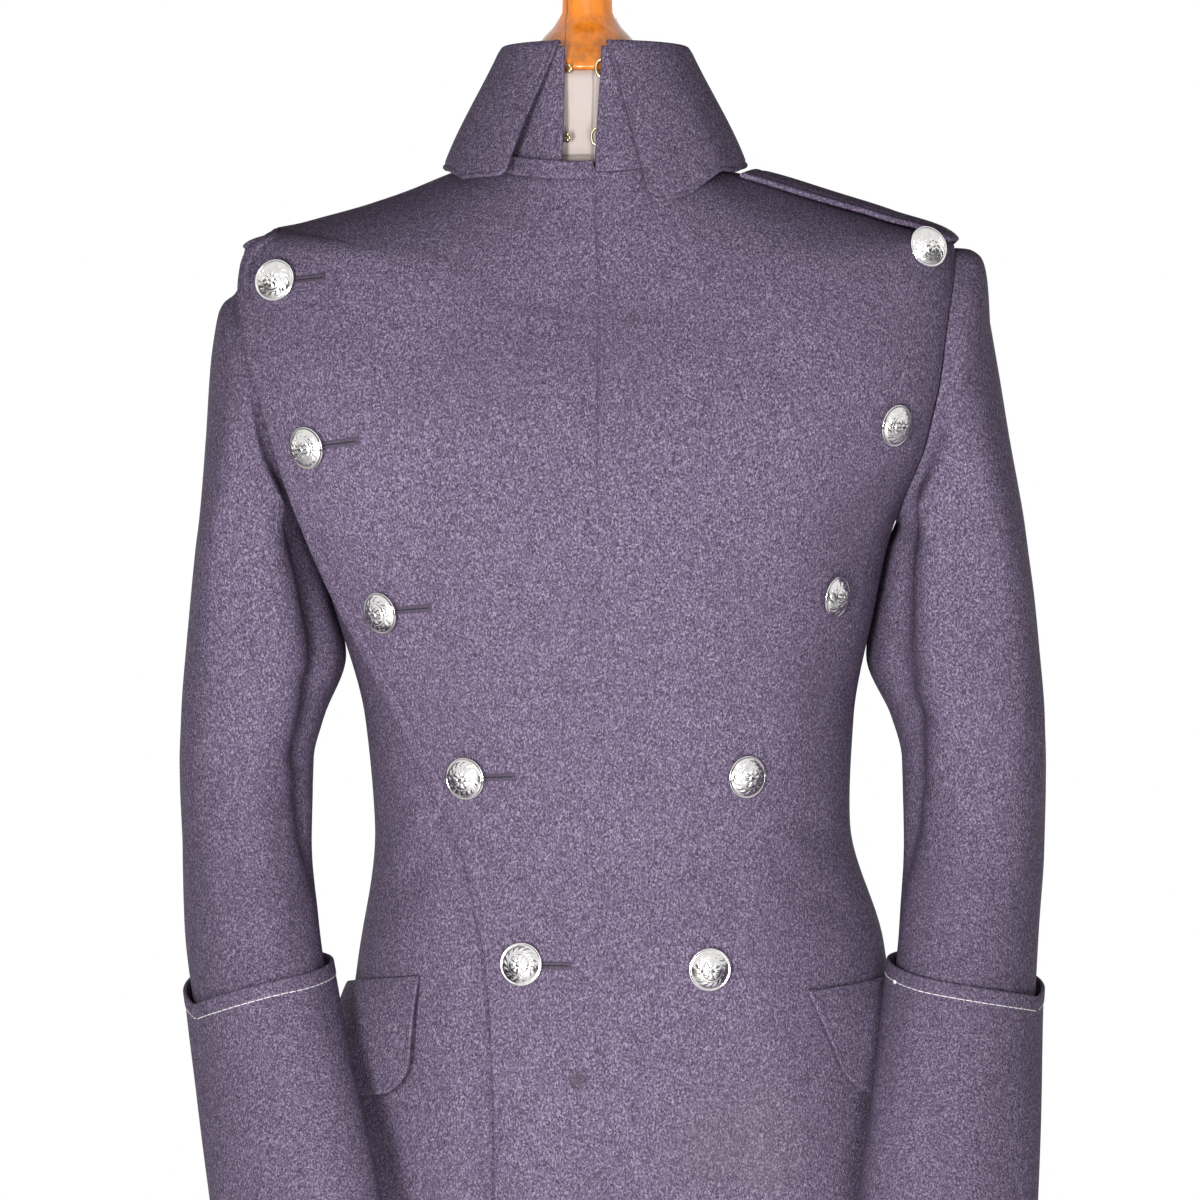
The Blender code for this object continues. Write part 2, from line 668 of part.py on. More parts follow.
def fall_outer():
    """The turned-down leaf, wider at its edge than at the fold, its front edges slanting apart."""
    across = np.linspace(0, 1, FALL_COLUMNS + 1)
    top_angle, tip_angle = (
        front_angle(left, depth) + (front_angle(right, depth) + 360 - front_angle(left, depth)) * across
        for left, right, depth in ((*LEAF_TOPS, FOLD_FRONT + 4), (*LEAF_TIPS, LEAF_FRONT))
    )
    top_angle, tip_angle = ((angle + 180) % 360 - 180 for angle in (top_angle, tip_angle))
    rows = [fold_ring(top_angle, row.out, row.rise) for row in FALL_TOP]
    edge = collar_ring(tip_angle, LEAF_HALF_WIDTH, LEAF_FRONT, LEAF_BACK, 0)
    on_right = ease(edge[:, 0], 88 * MM, 74 * MM)
    clearance = LEAF_CLEARANCE["left"] + (LEAF_CLEARANCE["right"] - LEAF_CLEARANCE["left"]) * on_right
    lowest = shoulder_height(tip_angle, edge) + clearance
    wanted = smooth(column(LEAF_EDGE, "angle"), column(LEAF_EDGE, "height"), tip_angle)
    edge[:, 2] = np.maximum(wanted, lowest) * MM
    start = rows[-1]
    drop = np.linalg.norm(edge - start, axis=1, keepdims=True)
    away = unit((edge - start) * [1, 1, 0])
    leave = (away * 0.42 - [0, 0, 0.85]) * drop
    arrive = (away * 0.33 - [0, 0, 0.93]) * drop
    leaf = hermite(start, edge, leave, arrive, np.linspace(0, 1, FALL_ROWS + 1)[1:])
    return np.concatenate([np.array(rows), leaf])


def build_collar(look, parent):
    outer, inner = stand_walls()
    object_of("collar_stand", wall_mesh("collar_stand", outer, inner), look, parent)
    outer = fall_outer()
    normals = grid_normals(outer, closed=False)
    normals *= np.sign(np.sum(normals[-1] * (outer[-1] - outer[-1].mean(axis=0))))
    inner = outer - normals * COLLAR_CLOTH
    object_of("collar_fall", wall_mesh("collar_fall", outer, inner), look, parent)


# ---------------------------------------------------------------- pocket flaps and shoulder straps

# Where a flap's front edge stands at its top and at its bottom, seen from the front.
Flap = namedtuple("Flap", "x_top x_bottom top height slope")
FLAPS = {"left": Flap(122, 145, 963, 66, 0.05), "right": Flap(-107.5, -108.5, 971, 71, -0.12)}
FLAP_LENGTH, FLAP_CORNER = 150, 20
FLAP_STANDOFF = (1.6, 9.0)  # the under face's distance from the coat at the seam and at the free edge
FLAP_ROWS = 4
FLAP_COLUMNS = (0, 0.012, 0.045, 0.085, 0.135, 0.32, 0.5, 0.68, 0.865, 0.915, 0.955, 0.988, 1)


FRONT_HALVES = {"left": (-90, 0), "right": (-180, -90)}


def place_on_front(x, height):
    """The angle and path of the front's outermost point that stands at x and height."""
    half = FRONT_HALVES["right" if x < 0 else "left"]
    path = np.interp(height, column(RINGS, "height"), RING_PATH)
    lift = 0.0
    for _ in range(8):
        angle = angle_where(lambda height: x, path, *half, lift)
        lift = overlap_out(angle, path)
        path = np.clip(path + height - coat_skin(angle, path, lift)[2] / MM, 0, NECK)
    return angle, path


def build_flap(side, look, parent):
    """A hip pocket flap sewn along its top edge, with rounded lower corners, standing off the skirt."""
    flap = FLAPS[side]
    along = np.array(FLAP_COLUMNS)[None, :]
    from_end = np.minimum(along, 1 - along) * FLAP_LENGTH
    short = FLAP_CORNER - np.sqrt(FLAP_CORNER**2 - np.clip(FLAP_CORNER - from_end, 0, None) ** 2)
    down = np.linspace(0, 1, FLAP_ROWS + 1)[:, None] * (flap.height - short)
    height = flap.top + flap.slope * along * FLAP_LENGTH - down
    path = smooth(column(RINGS, "height")[:7], RING_PATH[:7], height)
    reach = np.linalg.norm(coat_surface(-90 + SIDE[side] * 50, path)[..., :2], axis=-1) / MM
    x = flap.x_top + (flap.x_bottom - flap.x_top) * down / flap.height
    front = angle_where(lambda height: x, path, *FRONT_HALVES[side])
    angle = front + SIDE[side] * np.degrees(along * FLAP_LENGTH / reach)
    under = (FLAP_STANDOFF[0] + (FLAP_STANDOFF[1] - FLAP_STANDOFF[0]) * (down / flap.height) ** 0.6) * MM
    if side == "left":
        under = under + overlap_out(angle, path)
    outer = coat_skin(angle, path, under + FLAP_CLOTH)
    inner = coat_skin(angle, path, under)
    name = "pocket_flap_" + side
    object_of(name, wall_mesh(name, outer, inner), look, parent)


Strap = namedtuple("Strap", "front back bow")  # distances from the shoulder ridge, in front and behind
STRAPS = {"left": Strap(42, 21, 2.5), "right": Strap(-6, 56, 0)}
STRAP_END = 98.5  # distance of the collar end from the middle
STRAP_ROWS, STRAP_COLUMNS = 7, 4
STRAP_CLOTH, STRAP_GAP = 3.4 * MM, 1.5 * MM


def strap_bow(strap, path, across, middle, half):
    """How much further the stiff strap's middle stands off the shoulder than its edges, in metres."""
    along = (path - path.min()) / (path.max() - path.min()) * 2 - 1
    return strap.bow * MM * (1 - along**4) * (1 - ((across - middle) / half) ** 2)


def build_strap(side, look, parent):
    """A shoulder strap along the ridge, from the sleeve seam to the collar's edge."""
    strap = STRAPS[side]
    last = float(np.interp(-STRAP_END, -column(RINGS, "half_width")[13:], RING_PATH[13:]))
    path = np.linspace(TIP + 3, last, STRAP_ROWS + 1)[:, None]
    middle = (strap.back - strap.front) / 2
    half = (strap.back + strap.front) / 2
    across = middle + np.linspace(-1, 1, STRAP_COLUMNS + 1)[None, :] * half
    angle = np.degrees(np.arctan2(across, smooth(RING_PATH, column(RINGS, "half_width"), path)))
    if side == "right":
        angle = 180 - angle
    angle, path = np.broadcast_arrays(angle, path)
    under = STRAP_GAP + strap_bow(strap, path, across, middle, half)
    outer = coat_skin(angle, path, under + STRAP_CLOTH)
    inner = coat_skin(angle, path, under)
    name = "shoulder_strap_" + side
    object_of(name, wall_mesh(name, outer, inner), look, parent)


# ---------------------------------------------------------------- buttons, hooks and eyes

BUTTON_RADIUS, BUTTON_RIM, BUTTON_CROWN = 13.0, 1.6, 5.2
SHANK_RADIUS, SHANK_LENGTH = 3.0, 3.2
BUTTON_STEPS = 20
# A button's turn and tip lean it off the cloth's normal, in degrees
ButtonPlace = namedtuple("ButtonPlace", "name x height turn tip")
BUTTONS = (
    ButtonPlace("right_1", -197, 1394.5, 11, -9),
    ButtonPlace("right_2", -174.5, 1292.5, -4, 0),
    ButtonPlace("right_3", -131, 1193, 0, 0),
    ButtonPlace("right_4", -80, 1092, 0, 0),
    ButtonPlace("right_5", -46.5, 980.5, 0, 0),
    ButtonPlace("left_1", 200, 1416.5, -6, -18),
    ButtonPlace("left_2", 177.5, 1307, 4, 0),
    ButtonPlace("left_3", 141, 1202.5, 9, 0),
    ButtonPlace("left_4", 87, 1093, 6, 0),
    ButtonPlace("left_5", 65, 978, 0, -10),
)


def button_mesh():
    """A domed, rimmed button on a short shank, standing along +Z from its foot."""
    rim_height = SHANK_LENGTH + BUTTON_RIM
    profile = [(SHANK_RADIUS, 0), (SHANK_RADIUS, SHANK_LENGTH), (BUTTON_RADIUS - 0.8, SHANK_LENGTH)]
    profile += [(BUTTON_RADIUS, SHANK_LENGTH + 0.7), (BUTTON_RADIUS, rim_height)]
    profile.append((BUTTON_RADIUS - 1.3, rim_height))
    for share in (0.78, 0.5, 0.22):
        profile.append(((BUTTON_RADIUS - 1.3) * share, rim_height + BUTTON_CROWN * (1 - share**2)))
    return turned_mesh("button", profile, BUTTON_STEPS)


def build_buttons(look, parent):
    mesh = button_mesh()
    for place in BUTTONS:
        angle, path = (value[None] for value in place_on_front(place.x, place.height))
        lean = math.sin(math.radians(math.hypot(place.turn, place.tip)))
        foot = coat_skin(angle, path, overlap_out(angle, path) + (0.5 + SHANK_RADIUS * lean) * MM)[0]
        normal = Vector(coat_normal(angle, path)[0])
        normal.rotate(Matrix.Rotation(math.radians(place.turn), 3, "Z"))
        normal.rotate(Matrix.Rotation(math.radians(-place.tip), 3, "X"))
        made = object_of("button_" + place.name, mesh, look, parent)
        made.location = foot
        made.rotation_mode = "QUATERNION"
        made.rotation_quaternion = normal.to_track_quat("Z", "Y")


WIRE = 0.65 * MM
HOOK_HEIGHTS = {"top": 1530, "bottom": 1486}


def wire(name, points, look, parent, cyclic=False):
    curve = bpy.data.curves.new(name, "CURVE")
    curve.dimensions = "3D"
    curve.bevel_depth = WIRE
    curve.bevel_resolution = 1
    curve.use_fill_caps = not cyclic
    spline = curve.splines.new("POLY")
    spline.points.add(len(points) - 1)
    for point, place in zip(spline.points, points):
        point.co = (*place, 1)
    spline.use_cyclic_u = cyclic
    return object_of(name, curve, look, parent)


def build_hooks_and_eyes(look, parent):
    """Two wire hooks behind the right end of the stand, and two wire eyes behind the left end."""
    inner = stand_walls()[1] / MM
    for place, height in HOOK_HEIGHTS.items():
        left, right = (
            [np.interp(height, inner[:, end, 2], inner[:, end, i]) for i in range(2)] for end in (0, -1)
        )
        y = right[1] + 2.2
        hook = [
            (right[0] - 6.0, y + 3.6, height + 1.6),
            (right[0] + 1.6, y, height + 1.6),
            (right[0] + 3.0, y - 0.4, height + 1.2),
            (right[0] + 3.4, y - 0.8, height),
            (right[0] + 3.0, y - 0.4, height - 1.2),
            (right[0] + 1.6, y, height - 1.6),
            (right[0] - 6.0, y + 3.6, height - 1.6),
        ]
        wire("hook_" + place, np.array(hook) * MM, look, parent)
        eye = []
        for step in range(9):
            turn = math.radians(20 + 320 * step / 8)
            x = left[0] + 0.6 + 4.0 * math.cos(turn)
            eye.append((x, left[1] + 2.9, height + 4.6 * math.sin(turn)))
        wire("eye_" + place, np.array(eye) * MM, look, parent)


# ---------------------------------------------------------------- dress form and stand

FormRing = namedtuple("FormRing", "name height half_width front back shift square")
FORM_RINGS = (
    FormRing("base", 806, 138, 98, 108, 5, 2.2),
    FormRing("edge", 814, 148, 108, 118, 5, 2.2),
    FormRing("seat", 880, 158, 118, 130, 7, 2.2),
    FormRing("hip", 960, 154, 117, 126, 8, 2.2),
    FormRing("waist", 1060, 137, 107, 108, 8, 2.2),
    FormRing("rib", 1125, 139, 111, 108, 6, 2.2),
    FormRing("breast", 1190, 153, 118, 113, 3, 2.2),
    FormRing("chest", 1250, 166, 123, 116, 0, 2.3),
    FormRing("armhole", 1320, 172, 118, 115, 0, 2.4),
    FormRing("plate_top", 1385, 176, 88, 103, 0, 2.3),
    FormRing("shoulder", 1410, 172, 76, 93, 0, 2.1),
    FormRing("slope", 1428, 138, 68, 84, -1, 2.0),
    FormRing("neck_root", 1447, 88, 58, 68, -2, 2.0),
    FormRing("neck_low", 1466, 58, 51, 52, -3, 2.0),
    FormRing("neck", 1490, 49, 48, 47, -5, 2.0),
    FormRing("neck_top", 1529.6, 46, 45, 46, -8, 2.0),
)
PLATE_HALF_WIDTH = 167  # the round plates that close the armholes stand this far out
FORM_ROWS = 24
FORM_STEPS = 28


def build_torso(look, parent):
    """The covered torso: a smooth loft with flat plates where arms would be."""
    heights = column(FORM_RINGS, "height")
    steps = np.hypot(np.diff(heights), np.diff(column(FORM_RINGS, "half_width")))
    path = np.concatenate([[0], np.cumsum(steps)])
    at = np.unique(np.concatenate([path[:2], np.linspace(path[1], path[-1], FORM_ROWS)]))
    size = {name: smooth(path, column(FORM_RINGS, name), at)[:, None] for name in FormRing._fields[1:]}
    turn = np.linspace(0, 2 * np.pi, FORM_STEPS, endpoint=False)[None, :]
    depth = np.where(np.sin(turn) < 0, size["front"], size["back"])
    across = (np.abs(np.cos(turn)) / size["half_width"]) ** size["square"]
    reach = (across + (np.abs(np.sin(turn)) / depth) ** size["square"]) ** (-1 / size["square"])
    x = np.clip(reach * np.cos(turn), -PLATE_HALF_WIDTH, PLATE_HALF_WIDTH) + size["shift"]
    points = np.stack(np.broadcast_arrays(x, reach * np.sin(turn), size["height"]), -1) * MM
    rows = len(at)
    faces = []
    for row in range(rows - 1):
        for col in range(FORM_STEPS):
            low, high = row * FORM_STEPS, (row + 1) * FORM_STEPS
            nxt = (col + 1) % FORM_STEPS
            faces.append([low + col, low + nxt, high + nxt, high + col])
    faces.append(list(range(FORM_STEPS))[::-1])
    faces.append([(rows - 1) * FORM_STEPS + col for col in range(FORM_STEPS)])
    mesh = mesh_from("form_torso", points.reshape(-1, 3), faces)
    object_of("form_torso", mesh, look, parent)


# Turned profiles, (radius, height)
FINIAL = (
    (45, 1530), (47, 1531.6), (46, 1534.6), (42.5, 1539), (37, 1544.5), (31.5, 1550.5), (27, 1556),
    (21.5, 1562), (18.6, 1567), (17.5, 1572), (17.3, 1578), (17.8, 1584), (21.5, 1591), (27, 1599),
    (31, 1610), (29.5, 1621.5), (24, 1632), (15.5, 1639), (9, 1642), (8.2, 1645.2), (9.6, 1648.6),
    (8.4, 1652.5), (4, 1655), (1, 1655.6),
)
POLE = (
    (17, 52.4), (17, 62), (21, 66), (21, 72), (17, 76), (16, 90), (16, 700), (17, 744), (22, 750),
    (22, 757), (18, 762), (18, 790), (52, 794), (54, 797), (54, 805.6),
)
BASE = (
    (186, 0), (190, 4), (190, 16), (184, 22), (172, 24), (120, 30), (60, 38), (40, 44), (34, 52),
)
FINIAL_STEPS, POLE_STEPS, BASE_STEPS = 28, 20, 40


def build_stand(look, parent):
    finial = object_of("form_finial", turned_mesh("form_finial", FINIAL, FINIAL_STEPS), look, parent)
    finial.location.x = FORM_RINGS[-1].shift * MM
    pole = object_of("stand_pole", turned_mesh("stand_pole", POLE, POLE_STEPS), look, parent)
    pole.location.x = 0
    object_of("stand_base", turned_mesh("stand_base", BASE, BASE_STEPS), look, parent)


def main():
    for old in list(bpy.data.objects):
        bpy.data.objects.remove(old)
    coat = bpy.data.objects.new("coat", None)
    form = bpy.data.objects.new("form", None)
    for empty in (coat, form):
        bpy.context.scene.collection.objects.link(empty)
    melton = material("melton", (0.118, 0.098, 0.142), 0.95)
    silver = material("silver", (0.78, 0.77, 0.76), 0.18, 1.0)
    brass = material("brass_wire", (0.74, 0.62, 0.36), 0.3, 1.0)
    calico = material("calico", (0.74, 0.66, 0.63), 0.85)
    wood = material("varnished_wood", (0.56, 0.22, 0.045), 0.25)
    build_panels(melton, coat)
    for side in SIDE:
        build_sleeve(side, melton, coat)
        build_cuff(side, melton, coat)
        build_flap(side, melton, coat)
        build_strap(side, melton, coat)
    build_collar(melton, coat)
    build_buttons(silver, coat)
    build_hooks_and_eyes(brass, coat)
    build_torso(calico, form)
    build_stand(wood, form)


main()
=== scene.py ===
"""The looks of a double-breasted melton greatcoat on a limbless dress form.

The wearer faces -Y and +X is the wearer's left. Tables are in millimetres and degrees, and everything
built from them is in metres. The coat's cloth is cut from one skin: rings from hem to neck, read at an
angle (0 at the wearer's left side, -90 in front, 90 behind) and at a distance up the side from the hem.
"""

import math
from collections import namedtuple

import bpy
import numpy as np
from bpy.props import FloatProperty, FloatVectorProperty, PointerProperty
from bpy.types import Operator, Panel, PropertyGroup
from mathutils import Matrix, Vector


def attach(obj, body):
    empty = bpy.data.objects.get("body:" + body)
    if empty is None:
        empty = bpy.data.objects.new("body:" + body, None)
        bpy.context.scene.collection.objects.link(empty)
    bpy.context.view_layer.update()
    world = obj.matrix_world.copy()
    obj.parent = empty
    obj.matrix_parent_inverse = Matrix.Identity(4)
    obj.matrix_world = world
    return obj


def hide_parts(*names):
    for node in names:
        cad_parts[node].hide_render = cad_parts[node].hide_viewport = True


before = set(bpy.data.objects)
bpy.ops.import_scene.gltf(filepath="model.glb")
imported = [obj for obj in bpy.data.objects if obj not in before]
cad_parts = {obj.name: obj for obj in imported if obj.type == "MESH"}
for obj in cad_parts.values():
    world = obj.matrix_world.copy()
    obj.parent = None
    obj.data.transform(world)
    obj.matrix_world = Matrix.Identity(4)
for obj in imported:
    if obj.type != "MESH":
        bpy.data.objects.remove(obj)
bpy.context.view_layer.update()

bl_info = {
    "name": "Greatcoat on a dress form",
    "version": (1, 0, 0),
    "blender": (4, 5, 0),
    "location": "3D View > Sidebar > Greatcoat",
    "description": "Dresses the packed greatcoat: melton, collar, buttons, stitching, form and stand",
    "category": "Object",
}

MM = 0.001
SIDE = {"left": 1, "right": -1}

# Cloth, in metres
BODY_CLOTH = 2.6 * MM
SLEEVE_CLOTH = 2.4 * MM
COLLAR_CLOTH = 3.0 * MM
FLAP_CLOTH = 2.8 * MM
SEAM_GAP = 0.25 * MM
OVERLAP_LIFT = BODY_CLOTH + 0.8 * MM

# ---------------------------------------------------------------- the coat's skin


def table(kind, *rows):
    """A table with named columns, from its plain rows."""
    return tuple(kind(*row) for row in rows)


# A ring's front and back sink below its sides by its falls, and its lean tips it to the wearer's right.
Ring = namedtuple("Ring", "name height half_width front back shift square front_fall back_fall lean")
RINGS = table(
    Ring,
    ("hem", 330, 256, 232, 248, 8, 2.00, 0, 0, 0),
    ("calf", 520, 228, 202, 218, 9, 2.05, 0, 0, 0),
    ("knee", 700, 201, 171, 188, 11, 2.10, 0, 0, 0),
    ("seat", 850, 181, 147, 163, 13, 2.15, 0, 0, 0),
    ("pocket", 940, 171, 137, 149, 14, 2.20, 0, 0, 0),
    ("hip", 985, 165, 132, 140, 14, 2.20, 0, 0, 0),
    ("waist", 1060, 150, 121, 121, 8, 2.20, 0, 0, 0),
    ("rib", 1125, 154, 126, 121, 6, 2.20, 0, 0, 0),
    ("breast", 1190, 169, 134, 126, 3, 2.25, 0, 0, 0),
    ("underarm", 1250, 186, 139, 130, 0, 2.35, 4, 0, 0),
    ("armpit", 1300, 210, 136, 130, 0, 2.70, 8, 4, 0.002),
    ("armhole", 1350, 222, 126, 127, 0, 3.00, 18, 8, 0.006),
    ("head", 1395, 226, 112, 119, 0, 2.90, 32, 13, 0.011),
    ("tip", 1421.5, 224, 105, 110, 0, 2.60, 45, 17, 0.0075),
    ("outer_slope", 1436, 183, 97.5, 104, 0, 2.40, 40, 10, 0.019),
    ("mid_slope", 1448.5, 142, 91, 94, -1, 2.20, 34, 2, 0.032),
    ("inner_slope", 1462.5, 103, 83, 80, -2, 2.10, 27, -8, 0.042),
    ("neck", 1478, 68, 75, 62, -3, 2.00, 16, -16, 0.025),
    ("above_neck", 1488, 65, 72, 60, -3, 2.00, 16, -16, 0.025),
)

Fold = namedtuple("Fold", "name angle spread depth start")
FOLDS = table(
    Fold,
    ("left_front", -42, 17, 17, 900),
    ("left_side", -8, 14, 13, 860),
    ("left_back", 28, 15, 20, 930),
    ("left_inner_back", 60, 12, 13, 840),
    ("right_inner_back", 121, 13, 15, 820),
    ("right_back", 154, 15, 19, 940),
    ("right_side", -170, 13, 12, 880),
    ("right_front", -137, 16, 16, 870),
)

# A soft trough (depth below 0) or ridge in the cloth, from one place to another. Width is half the
# trough's width, and bow is how far its middle strays sideways.
Crease = namedtuple("Crease", "angle height end_angle end_height width depth bow")
BODY_CREASES = table(
    Crease,
    # the waist, where the skirt springs from the nipped side seams
    (-122, 1092, -150, 1052, 9, -1.6, 3), (-128, 1108, -158, 1088, 8, -1.3, -3),
    (-135, 1060, -163, 1010, 11, -1.8, 4), (-140, 1125, -168, 1140, 10, -1.2, -4),
    (-126, 1030, -141, 960, 12, -1.7, 2), (-44, 1075, -14, 1048, 9, -1.7, -3),
    (-50, 1102, -16, 1096, 8, -1.2, 3), (-47, 1040, -19, 1000, 12, -1.6, -4),
    (-38, 1128, -10, 1150, 10, -1.2, 4),
    # the forepart dart and the skirt's first spring below it
    (-55, 1170, -52, 1096, 9, -1.0, 0), (-53, 1060, -58, 930, 15, 1.3, 2),
    (-62, 950, -64, 720, 20, -2.0, 3), (-78, 930, -76, 640, 26, 1.6, -5),
    (-103, 900, -101, 600, 24, -1.8, 5), (-118, 960, -120, 700, 16, -2.2, -3),
    (-112, 1060, -114, 900, 12, 1.3, 2),
    # the chest, a little hollow below the collar and beside the dart
    (-100, 1432, -124, 1420, 12, -1.5, 3), (-86, 1425, -66, 1405, 14, -1.3, -3),
    (-93, 1400, -91, 1290, 22, -0.9, 0), (-60, 1390, -45, 1330, 18, -1.2, 5),
    (-125, 1385, -138, 1330, 18, -1.1, -5), (-68, 1250, -50, 1215, 16, -1.1, 3),
    (-112, 1240, -126, 1210, 16, -1.1, -3),
    # towards the armholes
    (-34, 1240, -16, 1275, 10, -1.5, 3), (-30, 1215, -12, 1225, 9, -1.2, 2),
    (-146, 1235, -164, 1270, 10, -1.4, -3),
    # the back: blades, waist and seat
    (38, 1180, 16, 1235, 12, -1.6, 4), (46, 1215, 24, 1285, 13, -1.3, 3),
    (141, 1190, 165, 1240, 12, -1.6, -4), (133, 1225, 156, 1295, 13, -1.2, -3),
    (56, 1080, 20, 1060, 10, -1.9, -3), (62, 1108, 26, 1110, 9, -1.4, 3),
    (50, 1050, 22, 1012, 12, -1.6, -4), (124, 1082, 158, 1064, 10, -1.8, 3),
    (118, 1110, 154, 1116, 9, -1.3, -3), (130, 1048, 160, 1005, 12, -1.6, 4),
    (80, 1440, 100, 1441, 12, -1.4, 3), (76, 1180, 78, 1100, 18, -1.2, 2),
    (104, 1175, 102, 1095, 18, -1.1, -2), (74, 930, 70, 560, 24, -2.0, 5),
    (108, 915, 112, 590, 25, -2.1, -5), (44, 900, 45, 520, 22, -2.0, -4),
    (137, 890, 136, 540, 23, -1.9, 4),
)


def smooth(knots, values, at):
    """A curve through the table's values that never swings past them, read at one or many places."""
    knots, values, at = (np.asarray(x, float) for x in (knots, values, at))
    step = np.diff(knots)
    slope = np.diff(values) / step
    tangent = np.zeros(len(knots))
    tangent[0], tangent[-1] = slope[0], slope[-1]
    for i in range(1, len(step)):
        if slope[i - 1] * slope[i] > 0:
            before, after = 2 * step[i] + step[i - 1], step[i] + 2 * step[i - 1]
            tangent[i] = (before + after) / (before / slope[i - 1] + after / slope[i])
    i = np.clip(np.searchsorted(knots, at, side="right") - 1, 0, len(step) - 1)
    t = np.clip((at - knots[i]) / step[i], 0, 1)
    rise = values[i + 1] - values[i]
    bend = t * (1 - t) * step[i]
    return values[i] + rise * t * t * (3 - 2 * t) + bend * ((1 - t) * tangent[i] - t * tangent[i + 1])


def column(rows, name):
    return np.array([getattr(row, name) for row in rows], float)


def ease(value, start, end):
    """0 before start, 1 after end, and a soft step between them. End may be below start."""
    t = np.clip((np.asarray(value, float) - start) / (end - start), 0, 1)
    return t * t * (3 - 2 * t)


def side_path(rings):
    """How far up the side each ring lies from the first, in millimetres."""
    steps = np.hypot(np.diff(column(rings, "height")), np.diff(column(rings, "half_width")))
    return np.concatenate([[0], np.cumsum(steps)])


RING_PATH = side_path(RINGS)


def height_at(path):
    """The height of the side at a distance up it from the hem, in millimetres."""
    return smooth(RING_PATH, column(RINGS, "height"), path)


def wrapped(angle):
    """An angle brought to between -180 and 180 degrees."""
    return (angle + 180) % 360 - 180


def full_turn(steps):
    """Evenly spaced turns all round, in radians."""
    return np.linspace(0, 2 * np.pi, steps, endpoint=False)


def read_along(at, knots, vectors):
    """Vectors read between their knots, straight from one to the next."""
    return np.stack([np.interp(at, knots, vectors[:, i]) for i in range(3)], -1)


def path_of(ring_name):
    """How far along the side a named ring lies from the hem, in millimetres."""
    return RING_PATH[[ring.name for ring in RINGS].index(ring_name)]


def fold_depth(angle, height):
    """How far the skirt's soft folds stand out, in millimetres."""
    depth = np.zeros(np.broadcast(angle, height).shape)
    for fold in FOLDS:
        away = wrapped(angle - fold.angle)
        growth = np.clip((fold.start - height) / (fold.start - RINGS[0].height), 0, 1) ** 1.4
        depth = depth + fold.depth * growth * np.exp(-((away / fold.spread) ** 2))
    return depth


def crease_depth(creases, angle, height, reach):
    """How far the creases stand out, in millimetres: troughs with a soft swell on each side."""
    angle, height = np.broadcast_arrays(angle, height)
    depth = np.zeros(angle.shape)
    for crease in creases:
        around = wrapped(angle - crease.angle) * np.pi / 180 * reach
        up = height - crease.height
        run = wrapped(crease.end_angle - crease.angle) * np.pi / 180 * reach
        rise = crease.end_height - crease.height
        length = np.hypot(run, rise)
        t = (around * run + up * rise) / length**2
        away = (around * rise - up * run) / length + crease.bow * 4 * t * (1 - t)
        share = (away / crease.width) ** 2
        fade = ease(t, -0.15, 0.3) * ease(t, 1.15, 0.6)
        depth = depth + crease.depth * fade * (1 - 0.45 * share) * np.exp(-0.8 * share)
    return depth


def unevenness(angle, height):
    """Very shallow waves, each of another length, that keep pressed cloth from looking moulded."""
    turn = np.radians(angle)
    waves = np.sin(3.1 * turn + height / 61) + np.sin(7.3 * turn - height / 43 + 1.3)
    waves = waves + 0.7 * np.sin(11.7 * turn + height / 29 + 0.4) + 0.5 * np.sin(17.9 * turn - height / 77)
    return 0.16 * waves


def coat_surface(angle, path):
    """Points on the coat's smooth skin, in metres."""
    angle, path = np.broadcast_arrays(np.asarray(angle, float), np.asarray(path, float))
    size = {name: smooth(RING_PATH, column(RINGS, name), path) for name in Ring._fields[1:]}
    turn = np.radians(angle)
    cosine, sine = np.cos(turn), np.sin(turn)
    depth = np.where(sine < 0, size["front"], size["back"])
    fall = np.where(sine < 0, size["front_fall"], size["back_fall"])
    power = size["square"]
    across = (np.abs(cosine) / size["half_width"]) ** power
    reach = (across + (np.abs(sine) / depth) ** power) ** (-1 / power)
    reach = reach + fold_depth(angle, size["height"])
    x = size["shift"] + reach * cosine
    height = size["height"] - fall * np.abs(sine) ** 1.6 + size["lean"] * x
    return np.stack([x, reach * sine, height], -1) * MM


def unit(vectors):
    return vectors / np.linalg.norm(vectors, axis=-1, keepdims=True)


def coat_along(angle, path):
    """The direction up the skin, towards the neck."""
    return unit(coat_surface(angle, path + 0.2) - coat_surface(angle, path - 0.2))


def coat_normal(angle, path):
    around = coat_surface(angle + 0.05, path) - coat_surface(angle - 0.05, path)
    return unit(np.cross(around, coat_along(angle, path)))


def drape(angle, path):
    """How far the hanging cloth strays from the smooth skin, in metres."""
    angle, path = np.broadcast_arrays(np.asarray(angle, float), np.asarray(path, float))
    surface = coat_surface(angle, path) / MM
    reach = np.hypot(surface[..., 0], surface[..., 1])
    height = height_at(path)
    return (crease_depth(BODY_CREASES, angle, height, reach) + unevenness(angle, height)) * MM


def coat_skin(angle, path, out=0.0):
    """Points on the draped skin moved out of the coat by out metres."""
    out = np.asarray(out, float) + drape(angle, path)
    return coat_surface(angle, path) + coat_normal(angle, path) * out[..., None]


# ---------------------------------------------------------------- lines drawn on the skin

UNDERARM, TIP, NECK = path_of("underarm"), path_of("tip"), path_of("neck")
ARMHOLE_REACH = 17  # degrees, from the side to the armhole's front and back edges at its widest

